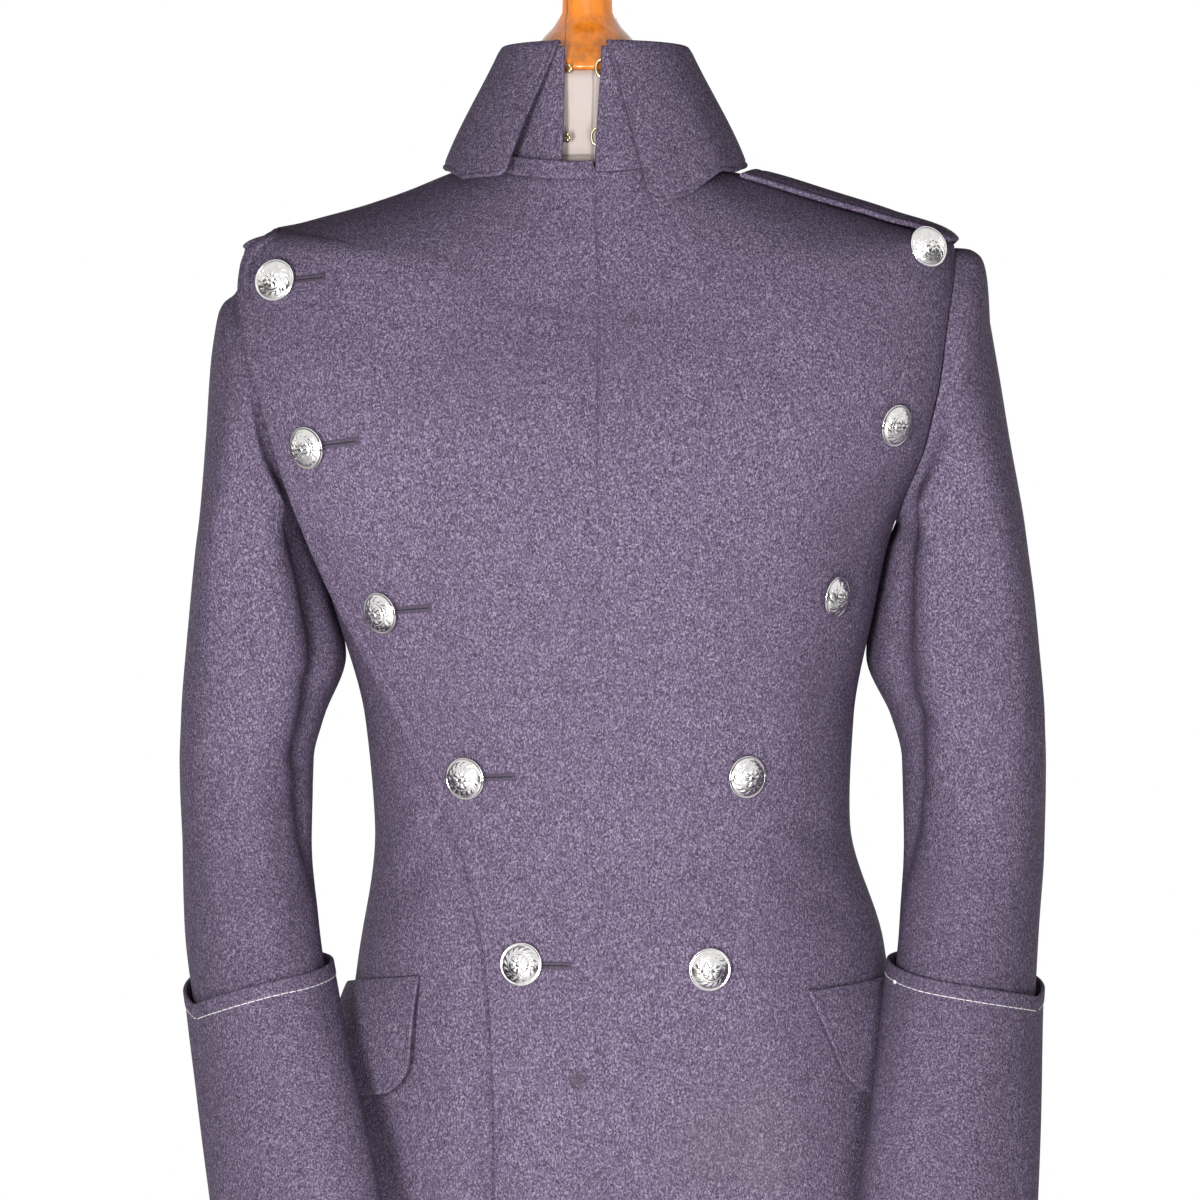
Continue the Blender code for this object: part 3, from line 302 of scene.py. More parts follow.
# The overlapping front's free edge and the covered front's edge: where each stands, seen from the front,
# and how far it stands off the layer below. The stiff cloth bridges the hollow beside the sleeve.
EdgePoint = namedtuple("EdgePoint", "height x lift")
LAPEL_EDGE = table(
    EdgePoint,
    (330, -66, 2.2), (880, -64, 2.2), (924, -66, 2.2), (974, -69, 2.2), (1006, -75, 2.2),
    (1040, -83, 2.2), (1066, -94, 2.4), (1101, -113, 3), (1136, -131, 5), (1176, -152, 9),
    (1215, -171, 15), (1263, -190, 21), (1313, -205, 19), (1342, -214, 16), (1369, -220.5, 13),
    (1395, -224, 9), (1408, -223, 6), (1416, -220, 5), (1422, -214.5, 4), (1427, -207.5, 3),
    (1431, -204, 2.2), (1440, -204, 2.2),
)
UNDERLAP_EDGE = table(
    EdgePoint,
    (330, 72, 0), (1340, 72, 0), (1400, 62, 0), (1464, 30, 0),
)


def armhole_angle(path):
    """How far the armhole's edge stands from the side, in degrees: an oval from underarm to tip."""
    share = np.clip((np.asarray(path, float) - UNDERARM) / (TIP - UNDERARM), 0, 1)
    return ARMHOLE_REACH * np.sqrt(4 * share * (1 - share))


def edge_lift(edge, path):
    """How far an edge stands off, in metres."""
    return smooth(column(edge, "height"), column(edge, "lift"), height_at(path)) * MM


HALVINGS = 26  # steps of a search by halves


def angle_where(place, path, low, high, lift=0.0):
    """The angle between low and high where each ring, moved out by lift, meets a line's x."""
    low = np.full(np.shape(path), float(low))
    high = np.full(np.shape(path), float(high))
    for _ in range(HALVINGS):
        middle = (low + high) / 2
        point = coat_skin(middle, path, lift) / MM
        before = point[..., 0] < place(point[..., 2])
        low, high = np.where(before, middle, low), np.where(before, high, middle)
    return (low + high) / 2


def edge_angle(edge, path, low, high, out=0.0):
    heights, places = column(edge, "height"), column(edge, "x")
    lift = edge_lift(edge, path) + out
    return angle_where(lambda height: smooth(heights, places, height), path, low, high, lift)


# ---------------------------------------------------------------- meshes

ROLL = (0, 0.3, 0.75, 1.35, 2.1, 3.4)  # distances from an edge, in millimetres, that round it off
TOPSTITCH = 12  # the front's stitching runs this far inside its edge
STITCHED_EDGE = (*ROLL, 6, 8.8, 10.6, 11.4, TOPSTITCH, 12.6, 13.4, 15.5)


def object_from(name, points, faces, look):
    """A smooth-shaded object in the scene, from its points, its faces and its finish."""
    mesh = bpy.data.meshes.new(name)
    mesh.from_pydata(points.reshape(-1, 3).tolist(), [], faces)
    mesh.validate()
    mesh.materials.append(look)
    mesh.shade_smooth()
    made = bpy.data.objects.new(name, mesh)
    bpy.context.scene.collection.objects.link(made)
    return made


def grid_normals(points, closed=False):
    """Unit normals of a grid, from the differences between neighbours."""
    down = np.gradient(points, axis=0)
    if closed:
        along = np.roll(points, -1, axis=1) - np.roll(points, 1, axis=1)
    else:
        along = np.gradient(points, axis=1)
    return unit(np.cross(along, down))


def lengths(points, axis):
    """Distances along each row (axis 1) or column (axis 0) of a grid, from its first point."""
    steps = np.linalg.norm(np.diff(points, axis=axis), axis=-1)
    start = np.zeros_like(np.take(points[..., 0], [0], axis=axis))
    return np.concatenate([start, np.cumsum(steps, axis=axis)], axis=axis)


def grid_faces(index, closed=True):
    """Corners of the faces between neighbouring points of a grid of point numbers."""
    turned = np.roll(index, -1, axis=1)
    corners = np.stack([index[:-1], turned[:-1], turned[1:], index[1:]], -1)
    return (corners if closed else corners[:, :-1]).reshape(-1, 4)


def edge_distances(points, closed=False):
    """Distances of a grid's points from its first and last row and its first and last column, in metres."""
    down = lengths(points, 0)
    found = [down, down[-1:] - down]
    if not closed:
        across = lengths(points, 1)
        found += [across, across[:, -1:] - across]
    return found


def edges_mm(points):
    """The same distances of an open grid's points from its four edges, in millimetres."""
    return [distance / MM for distance in edge_distances(points)]


def sunk(distance, thickness, roll):
    """How far a layer's faces sink towards each other near an edge, so that the edge is rounded."""
    share = 1 - np.clip(distance / roll, 0, 1)
    return thickness / 2 * (1 - np.sqrt(1 - share**2))


def cloth_shell(name, outer, normals, thickness, rolls, closed=False):
    """A layer of melton from the grid of its outer face. Rolls are the radii of its rounded edges, in
    millimetres: first row, last row, and where it isn't closed all round, first column and last column."""
    rows, columns = outer.shape[:2]
    sink = np.zeros((rows, columns))
    for distance, roll in zip(edge_distances(outer, closed), rolls):
        sink = np.maximum(sink, sunk(distance, thickness, roll * MM))
    inner = outer - normals * (thickness - sink)[..., None]
    outer = outer - normals * sink[..., None]
    rim = np.zeros((rows, columns), bool)
    rim[[0, -1]] = True
    if not closed:
        rim[:, [0, -1]] = True
    count = rows * columns
    index = np.arange(count).reshape(rows, columns)
    under = index.copy()
    under[~rim] = count + np.arange(np.count_nonzero(~rim))
    points = np.concatenate([outer.reshape(-1, 3), inner[~rim]])
    faces = [grid_faces(index, closed), grid_faces(under, closed)[:, ::-1]]
    made = object_from(name, points, np.concatenate(faces).tolist(), finish("melton"))
    if shell_volume(points, faces) < 0:
        made.data.flip_normals()
    return made


def shell_volume(points, faces):
    corners = points[np.concatenate(faces)]
    a, b, c, d = (corners[:, i] for i in range(4))
    return float(np.sum(np.cross(b - a, c - a) * a) + np.sum(np.cross(c - a, d - a) * a))


def dress(piece, slot, *nodes):
    """A piece rides with the part and stands for its solids, which it hides. The slot is not used."""
    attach(piece, "root")
    if nodes:
        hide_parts(*nodes)
    return piece


def melton_piece(name, outer, normals, thickness, rolls, closed=False):
    """A piece of the coat in place of its solid, which is named as it is."""
    return dress(cloth_shell("cloth_" + name, outer, normals, thickness, rolls, closed), "melton", name)


def facing_out(normals, way):
    """The normals, turned over if they face against the way out of the coat."""
    return normals * np.sign(np.sum(normals * way))


def strands(name, lines, radius, look, sides=6, flat=1.0):
    """One mesh of short threads or wires, each through its own points, with rounded ends.
    A line is (points, normals), and flat presses the thread along its normals."""
    turn = full_turn(sides)
    points, faces, start = [], [], 0
    for line, normals in lines:
        line, normals = np.asarray(line, float), np.asarray(normals, float)
        along = unit(np.gradient(line, axis=0))
        across = unit(np.cross(along, normals))
        up = np.cross(across, along)
        rings = [(line[0] - along[0] * radius * 0.9, 0.45, 0)]
        rings += [(place, 1, i) for i, place in enumerate(line)]
        rings.append((line[-1] + along[-1] * radius * 0.9, 0.45, -1))
        for centre, size, i in rings:
            ring = np.outer(np.cos(turn), across[i]) + np.outer(np.sin(turn) * flat, up[i])
            points.append(centre + ring * radius * size)
        faces += [[start + corner for corner in face] for face in tube_faces(len(rings), sides)]
        start += len(rings) * sides
    return object_from(name, np.concatenate(points), faces, look)


def running_stitches(points, normals, pitch, length, lift=0.0, arch=0.25 * MM):
    """Short threads along a line, as (points, normals) for strands()."""
    reach = lengths(points[:, None], 0)[:, 0]
    found = []
    for start in np.arange(pitch * 0.3, reach[-1] - length, pitch):
        at = start + length * np.array([0, 0.5, 1])
        place, way = read_along(at, reach, points), unit(read_along(at, reach, normals))
        found.append((place + way * (np.array([-1, 1, -1])[:, None] * arch / 2 + lift), way))
    return found


# ---------------------------------------------------------------- fronts and backs

HEM_TURN = 30  # the hem is turned up and felled this far in
HEM_BAND = (*ROLL, 6, 12, 22, 28, HEM_TURN, 32, 38)
NECK_BAND = (*ROLL, 5.5, 8, 10.6, 11.4, TOPSTITCH, 12.6, 13.4, 16)
SKIRT_STEP, BODY_STEP = 7.0, 4.2  # rows' spacing below and above the waist
LEFT_ACROSS, RIGHT_ACROSS, BACK_ACROSS = 96, 76, 56  # columns across the inside of each panel
BEFORE_DART = 44  # of the left front's, those between its free edge and the neck dart


def panel_rows():
    """The rows' paths from hem to neck, close together where an edge is rounded or stitched."""
    low, high = HEM_BAND[-1], NECK - NECK_BAND[-1]
    skirt = np.linspace(low, path_of("waist"), int((path_of("waist") - low) / SKIRT_STEP))
    body = np.linspace(path_of("waist"), high, int((high - path_of("waist")) / BODY_STEP))
    return np.concatenate([HEM_BAND[:-1], skirt[:-1], body, (NECK - np.array(NECK_BAND[-2::-1]))])


ROWS = panel_rows()
FAR_SIDE = -180 + armhole_angle(ROWS)
LAPEL = edge_angle(LAPEL_EDGE, ROWS, -180, -90, OVERLAP_LIFT)
UNDERLAP = edge_angle(UNDERLAP_EDGE, ROWS, -90, 0)
BRIDGE = 26  # degrees of the overlap, beside its free edge, that rise to the edge's lift
TOP_EDGE_RISE = 8  # the overlap's free top edge stands this far above the neck seam
TOP_EDGE_STEP = (-89.2, -91.5)  # the angles between which it rises, where the collar ends
PRESSED = (1110, 1010)  # between these heights the free edge's puffed stitching flattens
# The hollow in the covered front beside the overlap's edge: its distance from it, width and depth, the
# distances between which it starts under the overlap, and the heights between which it fades in
EDGE_HOLLOW, HOLLOW_START, HOLLOW_FADE = (6, 9, 9.0), (-14, -3), (1120, 1000)
DART = (-90.4, 1245)  # the neck dart's angle, and the height where it runs out
DART_BAND = (-9, -5, -2.6, -1.4, -0.7, -0.3, 0, 0.3, 0.7, 1.4, 2.6, 5, 9)


def overlap_out(angle, path):
    """How far the overlapping front lies outside the skin, most of all at its free edge."""
    angle, path = np.broadcast_arrays(angle, path)
    underlap, lapel = (np.interp(path, ROWS, line) for line in (UNDERLAP, LAPEL))
    over_front = OVERLAP_LIFT * ease(angle - underlap, 34, 14)
    return over_front + edge_lift(LAPEL_EDGE, path) * ease(angle - lapel, BRIDGE, 0)


def inset(angle, path, way):
    """An edge's angle drawn back from its seam by the seam's gap. Way is 1 towards larger angles."""
    reach = np.linalg.norm(coat_surface(angle, path)[..., :2], axis=-1)
    return angle + way * np.degrees(SEAM_GAP / reach)


def degrees_per_mm(angle, path):
    step = np.linalg.norm(coat_surface(angle + 0.1, path) - coat_surface(angle - 0.1, path), axis=-1) / MM
    return 0.2 / step


def columns_between(start, end, count):
    """Count evenly spaced columns after start and before end, each a column of angles."""
    return start + (end - start) * np.linspace(0, 1, count + 2)[None, 1:-1]


def panel_grid(first, first_band, last, last_band, across, seam=None, seam_band=(), before=0):
    """Angles and paths of a panel's points between its first and last edge: bands of columns at set
    distances from each edge and each side of a seam, and across columns between, some before the seam."""
    per_mm = degrees_per_mm(first, ROWS), degrees_per_mm(last, ROWS)
    starts = first[:, None] + per_mm[0][:, None] * np.array(first_band)
    ends = last[:, None] - per_mm[1][:, None] * np.array(last_band[::-1])
    if seam is None:
        angles = [starts, columns_between(starts[:, -1:], ends[:, :1], across), ends]
    else:
        line = np.full(len(ROWS), seam)
        lines = line[:, None] + degrees_per_mm(line, ROWS)[:, None] * np.array(seam_band)
        left = columns_between(starts[:, -1:], lines[:, :1], before)
        right = columns_between(lines[:, -1:], ends[:, :1], across - before)
        angles = [starts, left, lines, right, ends]
    angles = np.concatenate(angles, axis=1)
    return angles, np.repeat(ROWS[:, None], angles.shape[1], axis=1)


def groove(distance, at, width=0.8, depth=0.5):
    """The valley that a row of stitches draws into the cloth, in metres. Distances are in millimetres."""
    return -depth * MM * np.exp(-(((distance - at) / width) ** 2))


def puff(distance, inside, height):
    """The extra thickness of a turned-in edge, from the edge to its stitching, in metres."""
    return height * MM * ease(distance, inside, inside - 2.5)


def felled_hem(hem):
    """The line of felling along the turned-up hem, in metres, at distances from the hem's edge."""
    return groove(hem, HEM_TURN, 1.2, 0.35)


def panel(name, angles, paths, out, rolls):
    outer = coat_skin(angles, paths, out)
    normals = facing_out(grid_normals(outer), coat_normal(angles, paths))
    made = melton_piece(name, outer, normals, BODY_CLOTH, rolls)


def build_front_left():
    side = inset(-armhole_angle(ROWS), ROWS, -1)
    angles, paths = panel_grid(
        LAPEL, STITCHED_EDGE, side, ROLL, LEFT_ACROSS, DART[0], DART_BAND, BEFORE_DART
    )
    rise = ease(angles, *TOP_EDGE_STEP) * ease(paths, NECK - 30, NECK)
    paths = paths + TOP_EDGE_RISE * rise
    out = overlap_out(angles, paths)
    first_row, top_row, free_edge, _ = edges_mm(coat_skin(angles, paths, out))
    on_top = ease(angles, -86, -92)
    height = height_at(paths)
    pull = 1 - 0.75 * ease(height, *PRESSED)
    out = out + puff(free_edge, TOPSTITCH, 0.7) * pull + groove(free_edge, TOPSTITCH, 0.9, 0.9) * pull
    out = out + (puff(top_row, TOPSTITCH, 0.7) + groove(top_row, TOPSTITCH, 0.9, 0.9)) * on_top
    out = out + felled_hem(first_row)
    dart_side = (angles - DART[0]) / degrees_per_mm(angles, paths)
    out = out + groove(dart_side, 0, 0.7, 1.5) * ease(height, DART[1], DART[1] + 35)
    out = out + 0.8 * MM * ease(np.abs(dart_side), 9, 1.5) * ease(height, DART[1], DART[1] + 70)
    panel("front_left", angles, paths, out, (1.3, 1.3, 1.4, 0.9))


def build_front_right():
    side = inset(FAR_SIDE, ROWS, 1)
    angles, paths = panel_grid(side, ROLL, UNDERLAP, ROLL, RIGHT_ACROSS)
    beside = (np.interp(paths, ROWS, LAPEL) - angles) / degrees_per_mm(angles, paths)
    height = height_at(paths)
    hollow = groove(beside, *EDGE_HOLLOW) * ease(beside, *HOLLOW_START) * ease(height, *HOLLOW_FADE)
    out = felled_hem(edges_mm(coat_skin(angles, paths))[0]) + hollow
    panel("front_right", angles, paths, out, (1.3, 1.3, 0.9, 1.3))


def build_backs():
    side = armhole_angle(ROWS)
    centre = np.full(len(ROWS), 90.0)
    edges = {
        "back_left": (inset(side, ROWS, 1), inset(centre, ROWS, -1)),
        "back_right": (inset(centre, ROWS, 1), inset(180 - side, ROWS, -1)),
    }
    for name, (first, last) in edges.items():
        angles, paths = panel_grid(first, ROLL, last, ROLL, BACK_ACROSS)
        out = felled_hem(edges_mm(coat_skin(angles, paths))[0])
        panel(name, angles, paths, out, (1.3, 0.9, 0.9, 0.9))


# ---------------------------------------------------------------- sleeves and cuffs

# Seen from the front, a sleeve's two edges; seen from the side, its middle and half its depth.
Station = namedtuple("Station", "height outer inner y deep yaw")
SLEEVES = {
    "left": table(
        Station,
        (1390, 244, 164, 3, 64, 0), (1350, 251, 168, 3, 68, 0), (1300, 259, 178, 3, 72, -2),
        (1250, 267, 186, 4, 75, -6), (1232, 269, 181.5, 4, 77, -9), (1200, 273, 174.5, 3, 77, -13),
        (1165, 276, 169.5, 0, 77, -16), (1125, 279, 185, -5, 75, -9), (1100, 280, 191, -9, 73, -3),
        (1050, 279, 190, -24, 70, 6), (1000, 274, 185, -50, 68, 14), (950, 268, 177, -82, 66, 21),
        (900, 262, 170, -115, 64, 27), (860, 258, 164, -140, 63, 31), (812, 253, 157, -166, 62, 34),
    ),
    "right": table(
        Station,
        (1390, 240, 164, 3, 64, 0), (1350, 246, 168, 3, 68, 0), (1300, 249, 178, 3, 72, -2),
        (1250, 252, 186, 4, 75, -6), (1232, 254, 180.5, 4, 77, -8), (1200, 257, 170, 3, 77, -11),
        (1165, 260, 161.5, 0, 76, -13), (1125, 263, 175, -5, 74, -7), (1100, 264, 181, -9, 72, -2),
        (1050, 262, 180, -26, 70, 6), (1000, 259, 173, -54, 68, 15), (950, 250, 162, -88, 66, 23),
        (900, 239, 150, -122, 64, 30), (860, 231, 140, -148, 63, 34), (812, 221, 129, -175, 62, 37),
    ),
}
# A sleeve's creases are read at a turn: 0 is its outer edge, 90 degrees its front, 180 its inner edge.
SLEEVE_CREASES = {
    "left": table(
        Crease,
        (168, 1300, 118, 1205, 11, -2.0, 4), (176, 1262, 140, 1150, 10, -1.7, -4),
        (178, 1152, 116, 1166, 8, -1.7, 3), (182, 1128, 104, 1118, 9, -2.3, -4),
        (180, 1104, 122, 1076, 8, -1.8, 3), (172, 1076, 96, 1040, 10, -1.6, 5),
        (150, 1046, 88, 992, 12, -1.4, -4), (70, 1350, 62, 1180, 20, 1.3, 4),
        (112, 1230, 100, 1080, 16, 1.2, -5), (40, 1210, 52, 1090, 16, -1.2, 4),
        (66, 1064, 76, 980, 15, -1.1, -3), (238, 1150, 292, 1118, 10, -1.9, 3),
        (232, 1118, 300, 1092, 9, -1.7, -3), (236, 1086, 288, 1052, 11, -1.5, 4),
        (214, 1300, 246, 1210, 12, -1.8, -4), (276, 1340, 282, 1200, 20, 1.3, 3),
        (330, 1200, 322, 1100, 17, -1.2, -3),
    ),
    "right": table(
        Crease,
        (170, 1296, 122, 1190, 11, -2.1, -4), (178, 1250, 146, 1140, 10, -1.6, 4),
        (180, 1140, 112, 1150, 8, -1.6, -3), (176, 1116, 100, 1100, 9, -2.2, 4),
        (182, 1090, 120, 1064, 9, -1.8, -3), (166, 1062, 94, 1022, 11, -1.6, -5),
        (148, 1030, 84, 980, 12, -1.3, 4), (76, 1340, 66, 1190, 19, 1.4, -4),
        (116, 1220, 104, 1070, 17, 1.2, 5), (44, 1230, 56, 1110, 17, -1.3, -4),
        (60, 1050, 70, 975, 14, -1.1, 3), (240, 1140, 296, 1108, 10, -1.8, -3),
        (234, 1106, 302, 1078, 10, -1.7, 3), (238, 1076, 284, 1040, 11, -1.4, -4),
        (216, 1290, 250, 1200, 12, -1.7, 4), (280, 1330, 286, 1190, 19, 1.2, -3),
        (334, 1190, 326, 1095, 16, -1.2, 3),
    ),
}
# The sleeve head's profile over the shoulder tip: at each share of the cap, how far out and how far down.
Crown = namedtuple("Crown", "share out down")
CROWNS = {
    "left": table(
        Crown,
        (0, 0, 0), (0.16, 0.42, 0.02), (0.36, 0.74, 0.11), (0.58, 0.88, 0.30), (0.8, 0.95, 0.58), (1, 1, 1),
    ),
    "right": table(
        Crown,
        (0, 0, 0), (0.16, 0.08, 0.34), (0.36, 0.33, 0.58), (0.58, 0.72, 0.71), (0.8, 0.92, 0.86), (1, 1, 1),
    ),
}
CROWN_FOOT, UNDERARM_FOOT = 1376, 1234  # the cap's lower heights at the sleeve's outer and inner edges
HEM_TILT = 9  # the hem's front stands this far above its middle
CAP_ROWS, ARM_ROWS, SLEEVE_COLUMNS = 26, 96, 96
CAP_LENGTH, ARM_LENGTH = 60, 500  # down the sleeve head, and below it to the hem
SLEEVE_SEAMS = (196, 262)  # turns of the two sleeve seams, both out of sight from the front
SLEEVE_REACH, CUFF_REACH = 64, 70  # half widths at which turns are measured as distances
TUBE_ROLLS = (1.5, 1.1)  # radii of the rounded first and last rows of sleeves and cuffs


def armhole_loop(side):
    """Points, normals and turns spread round the panels' armhole edge: tip, front, underarm, back."""
    down = np.linspace(TIP, UNDERARM, 90)
    angle = armhole_angle(down)
    angles = np.concatenate([-angle, angle[-2::-1]])
    if side == "right":
        angles = 180 - angles
    paths = np.concatenate([down, down[-2::-1]])
    corners, normals = coat_skin(angles, paths), coat_normal(angles, paths)
    half = len(down)
    turns = []
    for part in (slice(0, half), slice(half - 1, None)):
        along = lengths(corners[part][:, None], 0)[:, 0]
        turns.append(180 * (along / along[-1] + len(turns)))
    corner_turns = np.concatenate([turns[0], turns[1][1:]])
    turns = 360 * np.arange(SLEEVE_COLUMNS) / SLEEVE_COLUMNS
    points, normals = (read_along(turns, corner_turns, vectors) for vectors in (corners, normals))
    return points, unit(normals), np.radians(turns)


# The crease down the sleeve's front, by its inner edge: its turn and width in degrees and how far it stands
# out, and the heights between which it fades in from above and out below
RIDGE_TURN, RIDGE_WIDTH, RIDGE_OUT = 130, 18, 12
RIDGE_HEIGHTS = (1310, 1250, 1150, 1070)
# The hollow behind the crease, in the same words
HOLLOW_TURN, HOLLOW_WIDTH, HOLLOW_DEPTH = 155, 12, 6.5
HOLLOW_HEIGHTS = (1325, 1265, 1070, 1010)


def sleeve_ridge(height, turn):
    """How far the crease down the sleeve's front stands out, in millimetres."""
    start, full, fading, end = RIDGE_HEIGHTS
    along = ease(height, start, full) * ease(height, end, fading)
    return RIDGE_OUT * along * np.exp(-(((np.degrees(turn) - RIDGE_TURN) / RIDGE_WIDTH) ** 2))


def sleeve_hollow(height, turn):
    """How far the cloth falls in behind the ridge down the sleeve's front, in millimetres."""
    start, full, fading, end = HOLLOW_HEIGHTS
    across = (np.degrees(turn) % 360 - HOLLOW_TURN) / HOLLOW_WIDTH
    return HOLLOW_DEPTH * np.exp(-(across**2)) * ease(height, start, full) * ease(height, end, fading)


def arm_points(side, height, turn, out=0.0):
    """Points on a hanging sleeve: turn 0 is its outer edge, 90 degrees its front, 180 its inner edge."""
    stations = SLEEVES[side]
    knots = -column(stations, "height")
    height, turn, out = np.broadcast_arrays(height, turn, np.asarray(out) / MM)
    names = Station._fields[1:]
    outer, inner, y, deep, yaw = (smooth(knots, column(stations, name), -height) for name in names)
    yaw = np.radians(yaw)
    out = out + sleeve_ridge(height, turn) - sleeve_hollow(height, turn)
    half = (outer - inner) / 2
    thin = np.sqrt(half**2 - (deep * np.sin(yaw)) ** 2) / np.cos(yaw)
    across, along = (thin + out) * np.cos(turn), (deep + out) * np.sin(turn)
    x = (outer + inner) / 2 + across * np.cos(yaw) - along * np.sin(yaw)
    back = y - across * np.sin(yaw) - along * np.cos(yaw)
    return np.stack([SIDE[side] * x, back, height], -1) * MM


def hermite(start, end, leave, arrive, share):
    """Rows of points on curves from start to end. Share is one number for each row, or for each point."""
    t = share.reshape(len(share), -1, 1)
    return (
        start * (2 * t**3 - 3 * t**2 + 1)
        + leave * (t**3 - 2 * t**2 + t)
        + end * (3 * t**2 - 2 * t**3)
        + arrive * (t**3 - t**2)
    )


def sleeve_hem(side, turn):
    """Height of the hem round the wrist: square to the forearm, so it is higher in front."""
    return SLEEVES[side][-1].height + HEM_TILT * np.sin(turn)


def sleeve_grid(side):
    """The sleeve's points from the armhole to the hem, before its creases."""
    loop, normal, turn = armhole_loop(side)
    loop = loop + unit(loop.mean(axis=0) - loop) * 2 * SEAM_GAP
    crown = (1 + np.cos(turn)) / 2
    foot = UNDERARM_FOOT + (CROWN_FOOT - UNDERARM_FOOT) * crown
    first = arm_points(side, foot, turn)
    hang = first - arm_points(side, foot + 5, turn)
    length = np.linalg.norm(first - loop, axis=1, keepdims=True)
    leave = (normal * 0.5 + [SIDE[side] * 0.5, 0, -0.4]) * length
    band = np.array(ROLL[:-1]) / CAP_LENGTH
    shares = np.concatenate([band, np.linspace(ROLL[-1] / CAP_LENGTH, 1, CAP_ROWS)[:-1]])
    cap = hermite(loop, first, leave, unit(hang) * length * 0.9, shares)
    knots = column(CROWNS[side], "share")
    over_out, over_down = (smooth(knots, column(CROWNS[side], name), shares) for name in ("out", "down"))
    over = np.stack([over_out, over_out, over_down], -1)[:, None]
    share = (crown**2)[None, :, None]
    cap = cap * (1 - share) + (loop + (first - loop) * over) * share
    hem = sleeve_hem(side, turn) + 2
    down = np.concatenate([np.linspace(0, 1, ARM_ROWS)[:-1], 1 - np.array(ROLL[::-1]) / ARM_LENGTH])
    heights = foot + (hem - foot) * np.unique(down)[:, None]
    return np.concatenate([cap, arm_points(side, heights, turn[None, :])]), np.degrees(turn)


def outward_normals(points):
    """Normals of a tube's points, turned away from its middle line."""
    return facing_out(grid_normals(points, closed=True), points - points.mean(axis=1, keepdims=True))


def build_sleeve(side):
    points, turn = sleeve_grid(side)
    normals = outward_normals(points)
    height = points[..., 2] / MM
    depth = crease_depth(SLEEVE_CREASES[side], turn[None, :], height, SLEEVE_REACH)
    depth = depth + unevenness(turn[None, :], height)
    from_seam = edge_distances(points, closed=True)[0] / MM
    gathers = np.cos(np.radians(turn) * 17) * np.exp(-((from_seam - 9) / 8) ** 2)
    fullness = 0.35 * gathers * ease(height, 1330, 1390)
    depth = (depth * ease(from_seam, 2, 22) + fullness) * MM
    for seam in SLEEVE_SEAMS:
        depth = depth + groove((turn[None, :] - seam) * np.pi / 180 * SLEEVE_REACH, 0, 1.3, 0.7)
    outer = points + normals * depth[..., None]
    normals = outward_normals(outer)
    made = melton_piece("sleeve_" + side, outer, normals, SLEEVE_CLOTH, TUBE_ROLLS, closed=True)


# Heights of a cuff's top edge at its outer edge, front, inner edge and back
CuffTop = namedtuple("CuffTop", "outer front inner back")
CUFF_TOPS = {"left": CuffTop(958, 972, 981, 972), "right": CuffTop(954, 974, 981, 972)}
# How far a cuff's outer face stands off the sleeve at each share down it
CUFF_STANDOFF = ((0, 5.4), (0.12, 5.6), (0.5, 7.5), (1.0, 9.0))
CUFF_TACK = 8.6  # the white tacking thread runs this far below the top edge
CUFF_TOP_BAND = (*ROLL, 5, 6.8, 7.8, CUFF_TACK, 9.4, 10.6, 13)
CUFF_HEM_BAND = (*ROLL, 5, 7.5, 11)
CUFF_ROWS, CUFF_COLUMNS = 34, 120
CUFF_FOLD = 5  # over this height the cuff turns in to the sleeve's hem
CUFF_SEAM = 262


def cuff_grid(side):
    """The cuff's outer points, from its top edge down to its fold at the hem."""
    tops = CUFF_TOPS[side]
    turn = full_turn(CUFF_COLUMNS)
    top = smooth(np.arange(5) * np.pi / 2, [*tops, tops.outer], turn)
    hem = sleeve_hem(side, turn)
    deep = (top - hem)[None, :]
    first = np.repeat(np.array(CUFF_TOP_BAND)[:, None], CUFF_COLUMNS, axis=1)
    last = deep - np.array(CUFF_HEM_BAND[::-1])[:, None]
    share = np.linspace(0, 1, CUFF_ROWS + 1)[1:-1, None]
    below = np.concatenate([first, first[-1] + (last[0] - first[-1]) * share, last])
    shares, distances = zip(*CUFF_STANDOFF)
    out = smooth(shares, distances, below / deep)
    curl = np.sqrt(1 - (1 - np.clip((deep - below) / CUFF_FOLD, 0, 1)) ** 2)
    out = SLEEVE_CLOTH / MM + 0.4 + (out - SLEEVE_CLOTH / MM - 0.4) * curl
    degrees = np.degrees(turn)[None, :]
    height = top - below
    waves = 0.35 * np.sin(5 * turn + height / 31) + 0.25 * np.sin(9 * turn - height / 23 + 2)
    out = (out + waves * ease(below, 0, 20)) * MM
    out = out + puff(below, 10, 0.5) + groove(below, CUFF_TACK, 0.8, 0.35)
    out = out + groove((degrees - CUFF_SEAM) * np.pi / 180 * CUFF_REACH, 0, 1.2, 0.7)
    return arm_points(side, height, turn, out)


def build_cuff(side):
    """The deep turned-back cuff, slanting up towards the inner edge, folded in at the hem."""
    outer = cuff_grid(side)
    normals = outward_normals(outer)
    made = melton_piece("cuff_" + side, outer, normals, SLEEVE_CLOTH, TUBE_ROLLS, closed=True)


# ---------------------------------------------------------------- collar

